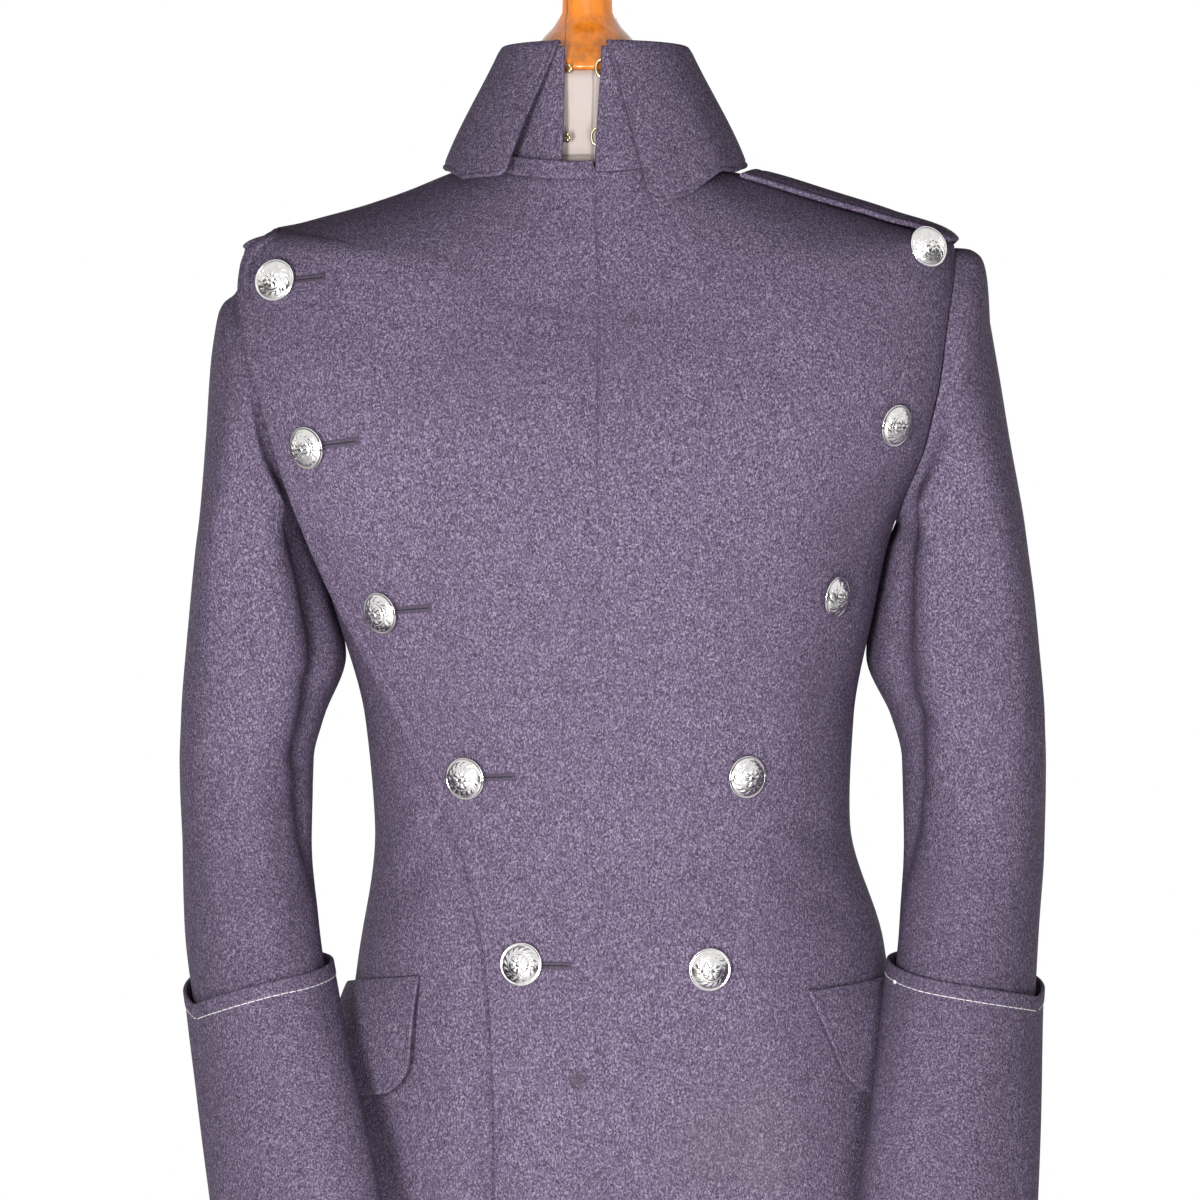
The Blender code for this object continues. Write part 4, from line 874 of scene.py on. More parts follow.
COLLAR_CENTRE = -3
COLLAR_GAP = (0.8, -23.5)  # x of the stand's left and right front edges at the fold
STAND_END = 253  # the angle of its right front edge at the neck seam
FOLD_HALF_WIDTH, FOLD_FRONT, FOLD_BACK = 56.0, 56.0, 58.0
FOLD_HEIGHT, FOLD_TILT = 1546, 2.3  # its height at the sides, and how much higher it is behind
STAND_FOOT = 9  # the stand follows the skin this far up from its seam
STAND_ROWS, STAND_COLUMNS = 20, 110
STAND_LENGTH, STAND_DEPTH = 330, 75  # round the neck, and from the seam to the fold
FALL_TURN_ROWS, FALL_ROWS, FALL_COLUMNS = 9, 30, 170
EDGE_STITCH = 3.4  # the collar's edges are stitched this far in
COLLAR_EDGE = (*ROLL[:-1], 2.8, EDGE_STITCH, 4.1, 5.5, 8)


def collar_ring(angle, half_width, front, back, height):
    """Points of an oval ring about the neck, in metres."""
    turn = np.radians(angle)
    depth = np.where(np.sin(turn) < 0, front, back)
    reach = 1 / np.hypot(np.cos(turn) / half_width, np.sin(turn) / depth)
    x, y, z = np.broadcast_arrays(COLLAR_CENTRE + reach * np.cos(turn), reach * np.sin(turn), height)
    return np.stack([x, y, z], -1) * MM


def fold_ring(angle, out=0.0, rise=0.0):
    height = FOLD_HEIGHT + FOLD_TILT * np.sin(np.radians(angle)) + rise
    return collar_ring(angle, FOLD_HALF_WIDTH + out, FOLD_FRONT + out, FOLD_BACK + out, height)


def front_angle(x, front):
    """The angle, from -180 to 0, where a collar ring's front stands at x."""
    return -90 + math.degrees(math.atan2(x - COLLAR_CENTRE, front))


def ends_first(count, length, band):
    """Shares from 0 to 1: a band of columns at set distances from each end, and count columns between."""
    near = np.array(band) / length
    return np.concatenate([near[:-1], np.linspace(near[-1], 1 - near[-1], count), 1 - near[-2::-1]])


def stand_out(angle):
    """How far the neck seam lies outside the skin: on the left the stand is sewn to the overlap."""
    on_overlap = (angle > -91) & (angle < 0)
    return np.where(on_overlap, overlap_out(angle, NECK), 0.0)


def stand_outer():
    """Outer points of the stand, from its neck seam up to the fold, left edge to right edge."""
    across = ends_first(STAND_COLUMNS, STAND_LENGTH, COLLAR_EDGE)
    angle = -90 + (STAND_END + 90) * across
    first, last = (front_angle(x, FOLD_FRONT) for x in COLLAR_GAP)
    fold_angle = first + (last + 360 - first) * across
    angle, fold_angle = wrapped(angle), wrapped(fold_angle)
    ups = np.array([*ROLL, 5.5, STAND_FOOT]) + 0.3
    foot = np.array([coat_skin(angle, np.full(angle.shape, NECK + up), stand_out(angle)) for up in ups])
    top = fold_ring(fold_angle)
    rise = np.linalg.norm(top - foot[-1], axis=1, keepdims=True)
    leave = unit(foot[-1] - foot[0]) * rise * 0.7
    shares = np.concatenate([np.linspace(0, 1, STAND_ROWS)[1:-1], 1 - np.array(ROLL[-2::-1]) / STAND_DEPTH])
    upper = hermite(foot[-1], top, leave, np.array([0, 0, 0.8]) * rise, shares)
    return np.concatenate([foot, upper])


def collar_normals(outer):
    """Normals of a collar piece, turned away from the neck."""
    normals = grid_normals(outer)
    return normals * np.sign(np.sum(normals[-1] * (outer[-1] - outer[-1].mean(axis=0))))


def collar_layer(name, outer, rolls, ends):
    """A collar piece with stitched edges: its first (0) and last (1) row and its front edges (2, 3)."""
    normals = collar_normals(outer)
    distances = edges_mm(outer)
    out = sum(groove(distances[i], EDGE_STITCH, 0.7, 0.45) for i in ends)
    out = out + np.max([puff(distances[i], EDGE_STITCH, 0.35) for i in ends], axis=0)
    outer = outer + normals * out[..., None]
    made = melton_piece(name, outer, normals, COLLAR_CLOTH, rolls)


# The leaf's turn over the stand's top: how far outside the stand and above the fold each row lies.
FallRow = namedtuple("FallRow", "out rise")
FALL_TOP = table(FallRow, (-1.6, 3.6), (2.4, 3.2), (5.6, -0.8))
FALL_STEP = 5  # millimetres from row to row
# The height of the leaf's lower edge at each angle
LeafEdge = namedtuple("LeafEdge", "angle height")
LEAF_EDGE = table(
    LeafEdge,
    (-180, 1462), (-125, 1461), (-95, 1452), (-68, 1444), (-50, 1451),
    (-20, 1466), (0, 1470), (60, 1474), (120, 1472), (180, 1462),
)
LEAF_HALF_WIDTH, LEAF_FRONT, LEAF_BACK = 96.5, 99.0, 88.0
LEAF_CLEARANCE = {"left": 5, "right": 12}  # the leaf's edge lies at least this far above the shoulder
LEAF_TOPS = (4.5, -28.5)  # x of the leaf's left and right front edges at the fold
LEAF_TIPS = (33.5, -73)  # x of its left and right points
LEAF_CORNER = 6.5  # radius of the rounded points
FOLD_LENGTH, LEAF_LENGTH, LEAF_DEPTH = 420, 560, 95  # the leaf's size at the fold, at its edge and down it


def corner_short(from_end, radius):
    """How far a rounded corner stands back, at distances from the end that it rounds."""
    return radius - np.sqrt(radius**2 - np.clip(radius - from_end, 0, None) ** 2)


def shoulder_height(angle, points):
    """Height of the shoulder's skin straight below points round the neck, in millimetres."""
    reach = np.linalg.norm(points[..., :2], axis=-1)
    low, high = np.full(angle.shape, TIP), np.full(angle.shape, NECK)
    for _ in range(HALVINGS):
        middle = (low + high) / 2
        wider = np.linalg.norm(coat_surface(angle, middle)[..., :2], axis=-1) > reach
        low, high = np.where(wider, middle, low), np.where(wider, high, middle)
    return coat_surface(angle, low)[..., 2] / MM


def fall_outer():
    """The turned-down leaf, wider at its edge than at the fold, its front edges slanting apart."""
    across = ends_first(FALL_COLUMNS, FOLD_LENGTH, COLLAR_EDGE)
    top_angle, tip_angle = (
        front_angle(left, depth) + (front_angle(right, depth) + 360 - front_angle(left, depth)) * across
        for left, right, depth in ((*LEAF_TOPS, FOLD_FRONT + 4), (*LEAF_TIPS, LEAF_FRONT))
    )
    top_angle, tip_angle = wrapped(top_angle), wrapped(tip_angle)
    knots = np.arange(len(FALL_TOP))
    band = np.array(ROLL) / FALL_STEP
    turns = np.concatenate([band[:-1], np.linspace(band[-1], knots[-1], FALL_TURN_ROWS)])
    outs, rises = (smooth(knots, column(FALL_TOP, name), turns) for name in FallRow._fields)
    rows = [fold_ring(top_angle, out, rise) for out, rise in zip(outs, rises)]
    edge = collar_ring(tip_angle, LEAF_HALF_WIDTH, LEAF_FRONT, LEAF_BACK, 0)
    on_right = ease(edge[:, 0], 88 * MM, 74 * MM)
    clearance = LEAF_CLEARANCE["left"] + (LEAF_CLEARANCE["right"] - LEAF_CLEARANCE["left"]) * on_right
    lowest = shoulder_height(tip_angle, edge) + clearance
    wanted = smooth(column(LEAF_EDGE, "angle"), column(LEAF_EDGE, "height"), tip_angle)
    edge[:, 2] = np.maximum(wanted, lowest) * MM
    start = rows[-1]
    drop = np.linalg.norm(edge - start, axis=1, keepdims=True)
    away = unit((edge - start) * [1, 1, 0])
    leave = (away * 0.42 - [0, 0, 0.85]) * drop
    arrive = (away * 0.33 - [0, 0, 0.93]) * drop
    shares = np.unique([*np.linspace(0, 1, FALL_ROWS)[1:-1], *(1 - np.array(COLLAR_EDGE) / LEAF_DEPTH)])
    short = corner_short(np.minimum(across, 1 - across) * LEAF_LENGTH, LEAF_CORNER)
    reach = 1 - short * MM / drop[:, 0]
    return np.concatenate([np.array(rows), hermite(start, edge, leave, arrive, shares[:, None] * reach)])


def build_collar():
    rolls = (1.3, 1.5, 1.5, 1.5)
    collar_layer("collar_stand", stand_outer(), rolls, (2, 3))
    collar_layer("collar_fall", fall_outer(), rolls, (1, 2, 3))


# ---------------------------------------------------------------- pocket flaps and shoulder straps

# Where a flap's front edge stands at its top and at its bottom, seen from the front, the height of its top
# there, how far the flap hangs, how much its top rises from there, and the length that it was cut to.
Flap = namedtuple("Flap", "x_top x_bottom top height slope cut")
FLAPS = {"left": Flap(122, 145, 963, 66, 0.05, 171), "right": Flap(-107.5, -108.5, 971, 71, -0.12, 190)}
FLAP_LENGTH, FLAP_CORNER, FLAP_STITCH = 150, 20, 7
FLAP_STANDOFF = (1.6, 12.0)  # the under face's distance from the coat at the seam and at the free edge
FLAP_ROWS, FLAP_COLUMNS = 22, 44
FLAP_END = (*ROLL, 5, 7.5, 10.5, 14, 18)
FRONT_HALVES = {"left": (-90, 0), "right": (-180, -90)}
SKIRT_RINGS = RINGS[:7]  # from the hem to the waist


def place_on_front(x, height):
    """The angle and path of the front's outermost point that stands at x and height."""
    half = FRONT_HALVES["right" if np.mean(x) < 0 else "left"]
    path = np.interp(height, column(RINGS, "height"), RING_PATH)
    lift = 0.0
    for _ in range(8):
        angle = angle_where(lambda height: x, path, *half, lift)
        lift = overlap_out(angle, path)
        path = np.clip(path + height - coat_skin(angle, path, lift)[..., 2] / MM, 0, NECK)
    return angle, path


def build_flap(side):
    """A hip pocket flap sewn along its top edge, with rounded lower corners, standing off the skirt."""
    flap = FLAPS[side]
    along = ends_first(FLAP_COLUMNS, FLAP_LENGTH, FLAP_END)[None, :]
    from_end = np.minimum(along, 1 - along) * FLAP_LENGTH
    short = corner_short(from_end, FLAP_CORNER)
    share = ends_first(FLAP_ROWS, flap.height, ROLL)[:, None]
    down = share * (flap.height - short)
    height = flap.top + flap.slope * along * FLAP_LENGTH - down
    path = smooth(column(SKIRT_RINGS, "height"), side_path(SKIRT_RINGS), height)
    reach = np.linalg.norm(coat_surface(-90 + SIDE[side] * 50, path)[..., :2], axis=-1) / MM
    x = flap.x_top + (flap.x_bottom - flap.x_top) * down / flap.height
    front = angle_where(lambda height: x, path, *FRONT_HALVES[side])
    angle = front + SIDE[side] * np.degrees(along * FLAP_LENGTH / reach)
    under = FLAP_STANDOFF[0] + (FLAP_STANDOFF[1] - FLAP_STANDOFF[0]) * (down / flap.height) ** 0.6
    bow = 1.2 * np.sin(np.pi * along) * share + 0.4 * np.sin(9 * along + 2 * share)
    under = (under + bow) * MM
    if side == "left":
        under = under + overlap_out(angle, path)
    outer = coat_skin(angle, path, under + FLAP_CLOTH)
    out = np.max([puff(distance, FLAP_STITCH, 0.35) for distance in edges_mm(outer)[1:]], axis=0)
    normals = facing_out(grid_normals(outer), coat_normal(angle, path))
    name, rolls = "pocket_flap_" + side, (1.1, 1.5, 1.5, 1.5)
    made = melton_piece(name, outer + normals * out[..., None], normals, FLAP_CLOTH, rolls)


Strap = namedtuple("Strap", "front back bow")  # distances from the shoulder ridge, in front and behind
STRAPS = {"left": Strap(42, 21, 2.5), "right": Strap(-6, 56, 0)}
STRAP_START, STRAP_END = 3, 98.5  # from the shoulder's tip, and from the middle at the collar
STRAP_ROWS, STRAP_COLUMNS = 40, 20
STRAP_CLOTH, STRAP_GAP = 3.4 * MM, 1.5 * MM
STRAP_STITCH = 5.6  # the strap's edges are stitched this far in
STRAP_EDGE = (*ROLL, 4.6, STRAP_STITCH, 7.5)


def strap_bow(strap, path, across, middle, half):
    """How much further the stiff strap's middle stands off the shoulder than its edges, in metres."""
    along = (path - path.min()) / (path.max() - path.min()) * 2 - 1
    return strap.bow * MM * (1 - along**4) * (1 - ((across - middle) / half) ** 2)


def build_strap(side):
    """A shoulder strap along the ridge, from the sleeve seam to the collar's edge."""
    strap = STRAPS[side]
    tip = [ring.name for ring in RINGS].index("tip")
    last = float(np.interp(-STRAP_END, -column(RINGS, "half_width")[tip:], RING_PATH[tip:]))
    length = last - TIP - STRAP_START
    share = ends_first(STRAP_ROWS, length, STRAP_EDGE)[:, None]
    path = TIP + STRAP_START + length * share
    middle = (strap.back - strap.front) / 2
    half = (strap.back + strap.front) / 2
    across = middle + (2 * ends_first(STRAP_COLUMNS, 2 * half, STRAP_EDGE) - 1)[None, :] * half
    angle = np.degrees(np.arctan2(across, smooth(RING_PATH, column(RINGS, "half_width"), path)))
    if side == "right":
        angle = 180 - angle
    angle, path = np.broadcast_arrays(angle, path)
    stands = STRAP_GAP + STRAP_CLOTH + strap_bow(strap, path, across, middle, half)
    outer = coat_skin(angle, path, stands)
    out = sum(groove(distance, STRAP_STITCH, 0.8, 0.4) for distance in edges_mm(outer)[1:])
    normals = facing_out(grid_normals(outer), coat_normal(angle, path))
    name, rolls = "shoulder_strap_" + side, (1.5, 1.5, 1.5, 1.5)
    made = melton_piece(name, outer + normals * out[..., None], normals, STRAP_CLOTH, rolls)


# ---------------------------------------------------------------- buttons, buttonholes, hooks and eyes

BUTTON_RADIUS, BUTTON_RIM, BUTTON_CROWN = 13.0, 1.6, 5.2
SHANK_RADIUS, SHANK_LENGTH = 3.0, 3.2
BUTTON_STEPS, BUTTON_RINGS = 120, 40
# A button's turn and tip lean it off the cloth's normal
ButtonPlace = namedtuple("ButtonPlace", "name x height turn tip")
BUTTONS = table(
    ButtonPlace,
    ("right_1", -197, 1394.5, 11, -9),
    ("right_2", -174.5, 1292.5, -4, 0),
    ("right_3", -131, 1193, 0, 0),
    ("right_4", -80, 1092, 0, 0),
    ("right_5", -46.5, 980.5, 0, 0),
    ("left_1", 200, 1416.5, -6, -18),
    ("left_2", 177.5, 1307, 4, 0),
    ("left_3", 141, 1202.5, 9, 0),
    ("left_4", 87, 1093, 6, 0),
    ("left_5", 65, 978, 0, -10),
)
RIGHT_BUTTONS, LEFT_BUTTONS = BUTTONS[:5], BUTTONS[5:]


def button_relief(radius, turn):
    """Height of the stamped pattern: a boss, eight petals, a bead ring and a band of slanting leaves."""
    boss = 0.55 * ease(radius, 1.9, 1.1)
    petal = np.abs(np.cos(4 * turn)) ** 0.7 * ease(radius, 2.0, 3.0) * ease(radius, 6.3, 5.2)
    beads = (0.6 + 0.4 * np.cos(40 * turn)) * np.exp(-(((radius - 7.1) / 0.35) ** 2))
    slant = 16 * turn + 1.5 * (radius - 8.9)
    leaves = (0.5 + 0.5 * np.cos(slant)) ** 1.3 * ease(radius, 7.7, 8.3) * ease(radius, 10.6, 10.0)
    return boss + 0.5 * petal + 0.3 * beads + 0.42 * leaves


def button_points():
    """Rings of points from the foot of the shank, over the rim, to the middle of the crown."""
    rim = SHANK_LENGTH + BUTTON_RIM
    side = np.array([
        (SHANK_RADIUS, 0), (SHANK_RADIUS, SHANK_LENGTH), (BUTTON_RADIUS - 0.9, SHANK_LENGTH),
        (BUTTON_RADIUS - 0.3, SHANK_LENGTH + 0.15), (BUTTON_RADIUS, SHANK_LENGTH + 0.6),
        (BUTTON_RADIUS, rim - 0.45), (BUTTON_RADIUS - 0.15, rim - 0.12), (BUTTON_RADIUS - 0.5, rim),
        (BUTTON_RADIUS - 1.0, rim - 0.1), (BUTTON_RADIUS - 1.3, rim - 0.35),
    ])
    radius = np.concatenate([side[:, 0], np.linspace(BUTTON_RADIUS - 1.6, 0.25, BUTTON_RINGS)])[:, None]
    crown = BUTTON_CROWN * (1 - (radius / (BUTTON_RADIUS - 1.3)) ** 2)
    height = rim - 0.4 + crown + button_relief(radius, full_turn(BUTTON_STEPS))
    height[: len(side)] = side[:, 1:]
    return turned(radius, height, BUTTON_STEPS) * MM


def turned(radius, height, steps, shift=0.0):
    """Rings of points swept round an upright axis, one for each radius and height."""
    turn = full_turn(steps)
    x, y, z = np.broadcast_arrays(radius * np.cos(turn) + shift, radius * np.sin(turn), height)
    return np.stack([x, y, z], -1)


def tube_faces(rows, columns, first_cap=True):
    """Faces of a closed tube of points, from the first row to the last, with its ends capped."""
    index = np.arange(rows * columns).reshape(rows, columns)
    faces = grid_faces(index).tolist()
    if first_cap:
        faces.append(index[0, ::-1].tolist())
    return faces + [index[-1].tolist()]


def front_frame(x, height, out=0.0):
    """Points on the front layer's outer face that stand at x and height, with their normals."""
    angle, path = place_on_front(np.asarray(x, float), np.asarray(height, float))
    return coat_skin(angle, path, overlap_out(angle, path) + out), coat_normal(angle, path)


def build_buttons():
    """The buttons, each turned and tipped off the cloth's normal on its shank."""
    points = button_points()
    faces = tube_faces(*points.shape[:2])
    for row in (RIGHT_BUTTONS, LEFT_BUTTONS):
        leans = [math.sin(math.radians(math.hypot(place.turn, place.tip))) for place in row]
        off = (0.5 + SHANK_RADIUS * np.array(leans)) * MM
        feet, normals = front_frame(column(row, "x"), column(row, "height"), off)
        for place, foot, normal in zip(row, feet, normals):
            facing = Vector(normal)
            facing.rotate(Matrix.Rotation(math.radians(place.turn), 3, "Z"))
            facing.rotate(Matrix.Rotation(math.radians(-place.tip), 3, "X"))
            made = object_from("stamped_button_" + place.name, points, faces, finish("silver"))
            leaned = facing.to_track_quat("Z", "Y").to_matrix().to_4x4()
            made.data.transform(Matrix.Translation(Vector(foot)) @ leaned)
            dress(made, "silver", "button_" + place.name)


HOLE_REACH = 27.5  # a buttonhole's far end lies this far from its button's middle
HOLE_START = 3
PURL_PITCH, PURL_RADIUS, SLIT_RADIUS = 0.62, 0.36 * MM, 0.5 * MM
BAR_POINTS, SLIT_POINTS = 7, 14  # of each thread of the bar at the end, and of the slit's painted shadow
# Each buttonhole's slant: how much its far end rises
HOLE_SLANTS = {"right_1": 0.10, "right_2": 0.12, "right_3": 0.08, "right_4": 0.04, "right_5": -0.02}


def build_buttonholes():
    """Worked buttonholes in the overlapping front: close purl stitches round a slit, barred at the end,
    with a near-black strand of painted shadow in each slit.
    """
    along = np.arange(HOLE_START, HOLE_REACH, PURL_PITCH)
    count = len(along)
    across = np.linspace(-2.4, 2.4, BAR_POINTS)
    line = np.linspace(HOLE_START, HOLE_REACH - 0.4, SLIT_POINTS)
    # Points of one hole: how far along it and how far across it each lies
    spots = [(along, np.full(count, off)) for off in (-0.4, -2.2, 0.4, 2.2)]
    spots += [(np.full(BAR_POINTS, HOLE_REACH + step), across) for step in (0.3, 0.95, 1.6)]
    spots.append((line, np.zeros(SLIT_POINTS)))
    reach, off = (np.concatenate([spot[i] for spot in spots]) for i in range(2))
    x = np.concatenate([place.x + reach for place in RIGHT_BUTTONS])
    climbs = [place.height + HOLE_SLANTS[place.name] * reach for place in RIGHT_BUTTONS]
    height = np.concatenate([climb + off for climb in climbs])
    points, normals = (found.reshape(-1, len(reach), 3) for found in front_frame(x, height))
    purls, slit_shadows = [], []
    for hole, facing in zip(points, normals):
        for first in (0, 2 * count):
            near, far = hole[first : first + count], hole[first + count : first + 2 * count]
            way = facing[first : first + count]
            for k in range(count):
                middle = (near[k] + far[k]) / 2 + way[k] * 0.2 * MM
                purls.append((np.array([near[k], middle, far[k]]), way[[k, k, k]]))
        for first in range(4 * count, 4 * count + 3 * BAR_POINTS, BAR_POINTS):
            bar = slice(first, first + BAR_POINTS)
            purls.append((hole[bar] + facing[bar] * 0.25 * MM, facing[bar]))
        # The slit's painted shadow: a flat near-black strand along the cut
        slit_shadows.append((hole[-SLIT_POINTS:], facing[-SLIT_POINTS:]))
    dress(strands("buttonhole_purls", purls, PURL_RADIUS, finish("twist"), sides=5), "melton")
    dress(strands("buttonhole_slits", slit_shadows, SLIT_RADIUS, finish("shadow"), sides=6, flat=0.5), "melton")


WIRE, HOOK_BEAD = 0.85 * MM, 1.35 * MM  # radii of the wire and of the bead at a hook's bend
HOOK_HEIGHTS = {"top": 1530, "bottom": 1486}
HOOK_BEND = 1.6  # a hook's two wires run this far above and below its middle
EYE_HALF_WIDTH, EYE_HALF_HEIGHT = 3.2, 5.2


def bend_wire(line, node):
    """A wire hook or eye through its points, in millimetres."""
    towards_front = np.tile([0.0, -1.0, 0.0], (len(line), 1))
    wire = strands("wire_" + node, [(line * MM, towards_front)], WIRE, finish("brass_wire"), sides=10)
    dress(wire, "brass_wire", node)


def build_hooks_and_eyes():
    """Two wire hooks behind the right end of the stand, and two wire eyes behind the left end."""
    outer = stand_outer()
    inner = (outer - collar_normals(outer) * COLLAR_CLOTH) / MM
    beads = []
    for place, height in HOOK_HEIGHTS.items():
        left, right = (read_along(height, inner[:, end, 2], inner[:, end]) for end in (0, -1))
        x, y = right[0], right[1] + 2.2
        rows = [(x - 6.0, y + 3.6, height + HOOK_BEND), (x - 2.4, y + 1.6, height + HOOK_BEND)]
        for turn in np.radians(np.linspace(90, -90, 9)):
            cosine, sine = math.cos(turn), math.sin(turn)
            rows.append((x + 1.6 + 1.8 * cosine, y - 0.8 * cosine, height + HOOK_BEND * sine))
        rows += [(x - 2.4, y + 1.6, height - HOOK_BEND), (x - 6.0, y + 3.6, height - HOOK_BEND)]
        bend_wire(np.array(rows), "hook_" + place)
        for side in (-1, 1):
            bead = [(x + 2.2, y + back, height + side * 1.7) for back in (-1.6, -1.3, 0, 1)]
            beads.append((np.array(bead) * MM, np.tile([0.0, 0.0, 1.0], (4, 1))))
        turn = np.radians(np.linspace(20, 340, 25))
        x = left[0] + 0.4 + EYE_HALF_WIDTH * np.cos(turn)
        eye = np.stack([x, np.full(25, left[1] + 2.9), height + EYE_HALF_HEIGHT * np.sin(turn)], -1)
        bend_wire(eye, "eye_" + place)
    dress(strands("hook_beads", beads, HOOK_BEAD, finish("brass_wire"), sides=14), "brass_wire")


# ---------------------------------------------------------------- stitching

STITCH_PITCH, STITCH_LENGTH, STITCH_RADIUS = 3.1 * MM, 2.3 * MM, 0.22 * MM
STITCH_SINK = 0.38 * MM  # the edge stitching lies this far below the smooth face, in its groove
TACK_PITCH, TACK_LENGTH, TACK_RADIUS = 5.2 * MM, 4.4 * MM, 0.3 * MM
DART_SINK = 1.35 * MM  # the dart's painted shadow line lies this far below the smooth face, in the seam's groove
KNOT_X, KNOT_BEHIND, KNOT_POINTS = 166 * MM, 25 * MM, 30


def knot(line, facing):
    """The knot that ends a row of tacking, on the front of the cuff by its inner edge."""
    at = np.argmin(np.hypot(line[:, 0] - KNOT_X, line[:, 1] - line[:, 1].min() - KNOT_BEHIND))
    turn = np.linspace(0, 4 * np.pi, KNOT_POINTS)[:, None]
    out, up = facing[at], np.array([0.0, 0.0, 1.0])
    across = unit(np.cross(up, out))
    loops = across * 1.2 * np.cos(turn) + up * 1.0 * np.sin(1.5 * turn)
    loops = loops + out * (0.7 + 0.3 * np.sin(2 * turn))
    return line[at] + loops * MM, np.repeat(out[None], KNOT_POINTS, axis=0)


def build_stitching():
    """Edge stitching on the overlapping front and its top edge, the white tacking round the cuffs, and a
    painted shadow line along the dart's seam.
    """
    rows = (ROWS > HEM_BAND[6]) & (ROWS < NECK - TOPSTITCH)
    at = np.arange(ROWS[rows][0], ROWS[rows][-1], 2.0)
    angle = np.interp(at, ROWS, LAPEL + TOPSTITCH * degrees_per_mm(LAPEL, ROWS))
    line = coat_skin(angle, at, overlap_out(angle, at) - STITCH_SINK)
    lines = running_stitches(line, coat_normal(angle, at), STITCH_PITCH, STITCH_LENGTH)
    across = np.linspace(angle[-1], -90, 120)
    path = NECK + TOP_EDGE_RISE * ease(across, *TOP_EDGE_STEP) - TOPSTITCH
    line = coat_skin(across, path, overlap_out(across, path) - STITCH_SINK)
    lines += running_stitches(line, coat_normal(across, path), STITCH_PITCH, STITCH_LENGTH)
    dress(strands("edge_stitching", lines, STITCH_RADIUS, finish("twist"), sides=5), "melton")
    tacks = []
    for side in SIDE:
        outer = cuff_grid(side)
        normals = outward_normals(outer)
        row = CUFF_TOP_BAND.index(CUFF_TACK)
        line, facing = (np.concatenate([around[row], around[row][:1]]) for around in (outer, normals))
        tacks += running_stitches(line, facing, TACK_PITCH, TACK_LENGTH, lift=0.1 * MM, arch=0.5 * MM)
        if side == "left":
            tacks.append(knot(line, facing))
    dress(strands("cuff_tacking", tacks, TACK_RADIUS, finish("white_thread"), sides=6), "melton")
    # Painted shadow along the dart: a near-black strand sunk in its groove, where the folded edges meet
    path = np.linspace(NECK, UNDERARM, 90)
    path = path[coat_surface(DART[0], path)[:, 2] / MM > DART[1] + 12]
    angle = np.full(len(path), DART[0])
    seam = coat_skin(angle, path, overlap_out(angle, path) - DART_SINK), coat_normal(angle, path)
    dress(strands("dart_seam", [seam], 0.5 * MM, finish("shadow"), flat=0.6), "melton")


# ---------------------------------------------------------------- dress form and stand

FormRing = namedtuple("FormRing", "name height half_width front back shift square")
FORM_RINGS = table(
    FormRing,
    ("base", 806, 138, 98, 108, 5, 2.2),
    ("edge", 814, 148, 108, 118, 5, 2.2),
    ("seat", 880, 158, 118, 130, 7, 2.2),
    ("hip", 960, 154, 117, 126, 8, 2.2),
    ("waist", 1060, 137, 107, 108, 8, 2.2),
    ("rib", 1125, 139, 111, 108, 6, 2.2),
    ("breast", 1190, 153, 118, 113, 3, 2.2),
    ("chest", 1250, 166, 123, 116, 0, 2.3),
    ("armhole", 1320, 172, 118, 115, 0, 2.4),
    ("plate_top", 1385, 176, 88, 103, 0, 2.3),
    ("shoulder", 1410, 172, 76, 93, 0, 2.1),
    ("slope", 1428, 138, 68, 84, -1, 2.0),
    ("neck_root", 1447, 88, 58, 68, -2, 2.0),
    ("neck_low", 1466, 58, 51, 52, -3, 2.0),
    ("neck", 1490, 49, 48, 47, -5, 2.0),
    ("neck_top", 1529.6, 46, 45, 46, -8, 2.0),
)
PLATE_HALF_WIDTH = 167  # the round plates that close the armholes stand this far out
FORM_SEAMS = (278, 90)  # angles of the cover's seams in front and behind
FORM_ROWS, FORM_STEPS = 130, 120


def build_torso():
    """The covered torso: a smooth loft with flat plates where arms would be, seamed in front and behind."""
    path = side_path(FORM_RINGS)
    at = np.unique(np.concatenate([path[:2], np.linspace(path[1], path[-1], FORM_ROWS)]))
    size = {name: smooth(path, column(FORM_RINGS, name), at)[:, None] for name in FormRing._fields[1:]}
    turn = full_turn(FORM_STEPS)[None, :]
    depth = np.where(np.sin(turn) < 0, size["front"], size["back"])
    across = (np.abs(np.cos(turn)) / size["half_width"]) ** size["square"]
    reach = (across + (np.abs(np.sin(turn)) / depth) ** size["square"]) ** (-1 / size["square"])
    degrees = np.degrees(turn)
    for seam in FORM_SEAMS:
        away = np.radians(wrapped(degrees - seam)) * reach
        reach = reach - 0.8 * np.exp(-((away / 1.1) ** 2))
        reach = reach + 0.3 * np.exp(-(((np.abs(away) - 3) / 1.6) ** 2))
    neck = ease(size["height"], 1462, 1490)
    reach = reach + neck * (0.35 * np.sin(6 * turn + size["height"] / 9) + 0.25 * np.sin(11 * turn - 2))
    x = np.clip(reach * np.cos(turn), -PLATE_HALF_WIDTH, PLATE_HALF_WIDTH) + size["shift"]
    x, y, z = np.broadcast_arrays(x, reach * np.sin(turn), size["height"])
    points = np.stack([x, y, z], -1) * MM
    made = object_from("covered_form", points, tube_faces(*points.shape[:2]), finish("calico"))
    dress(made, "calico", "form_torso")


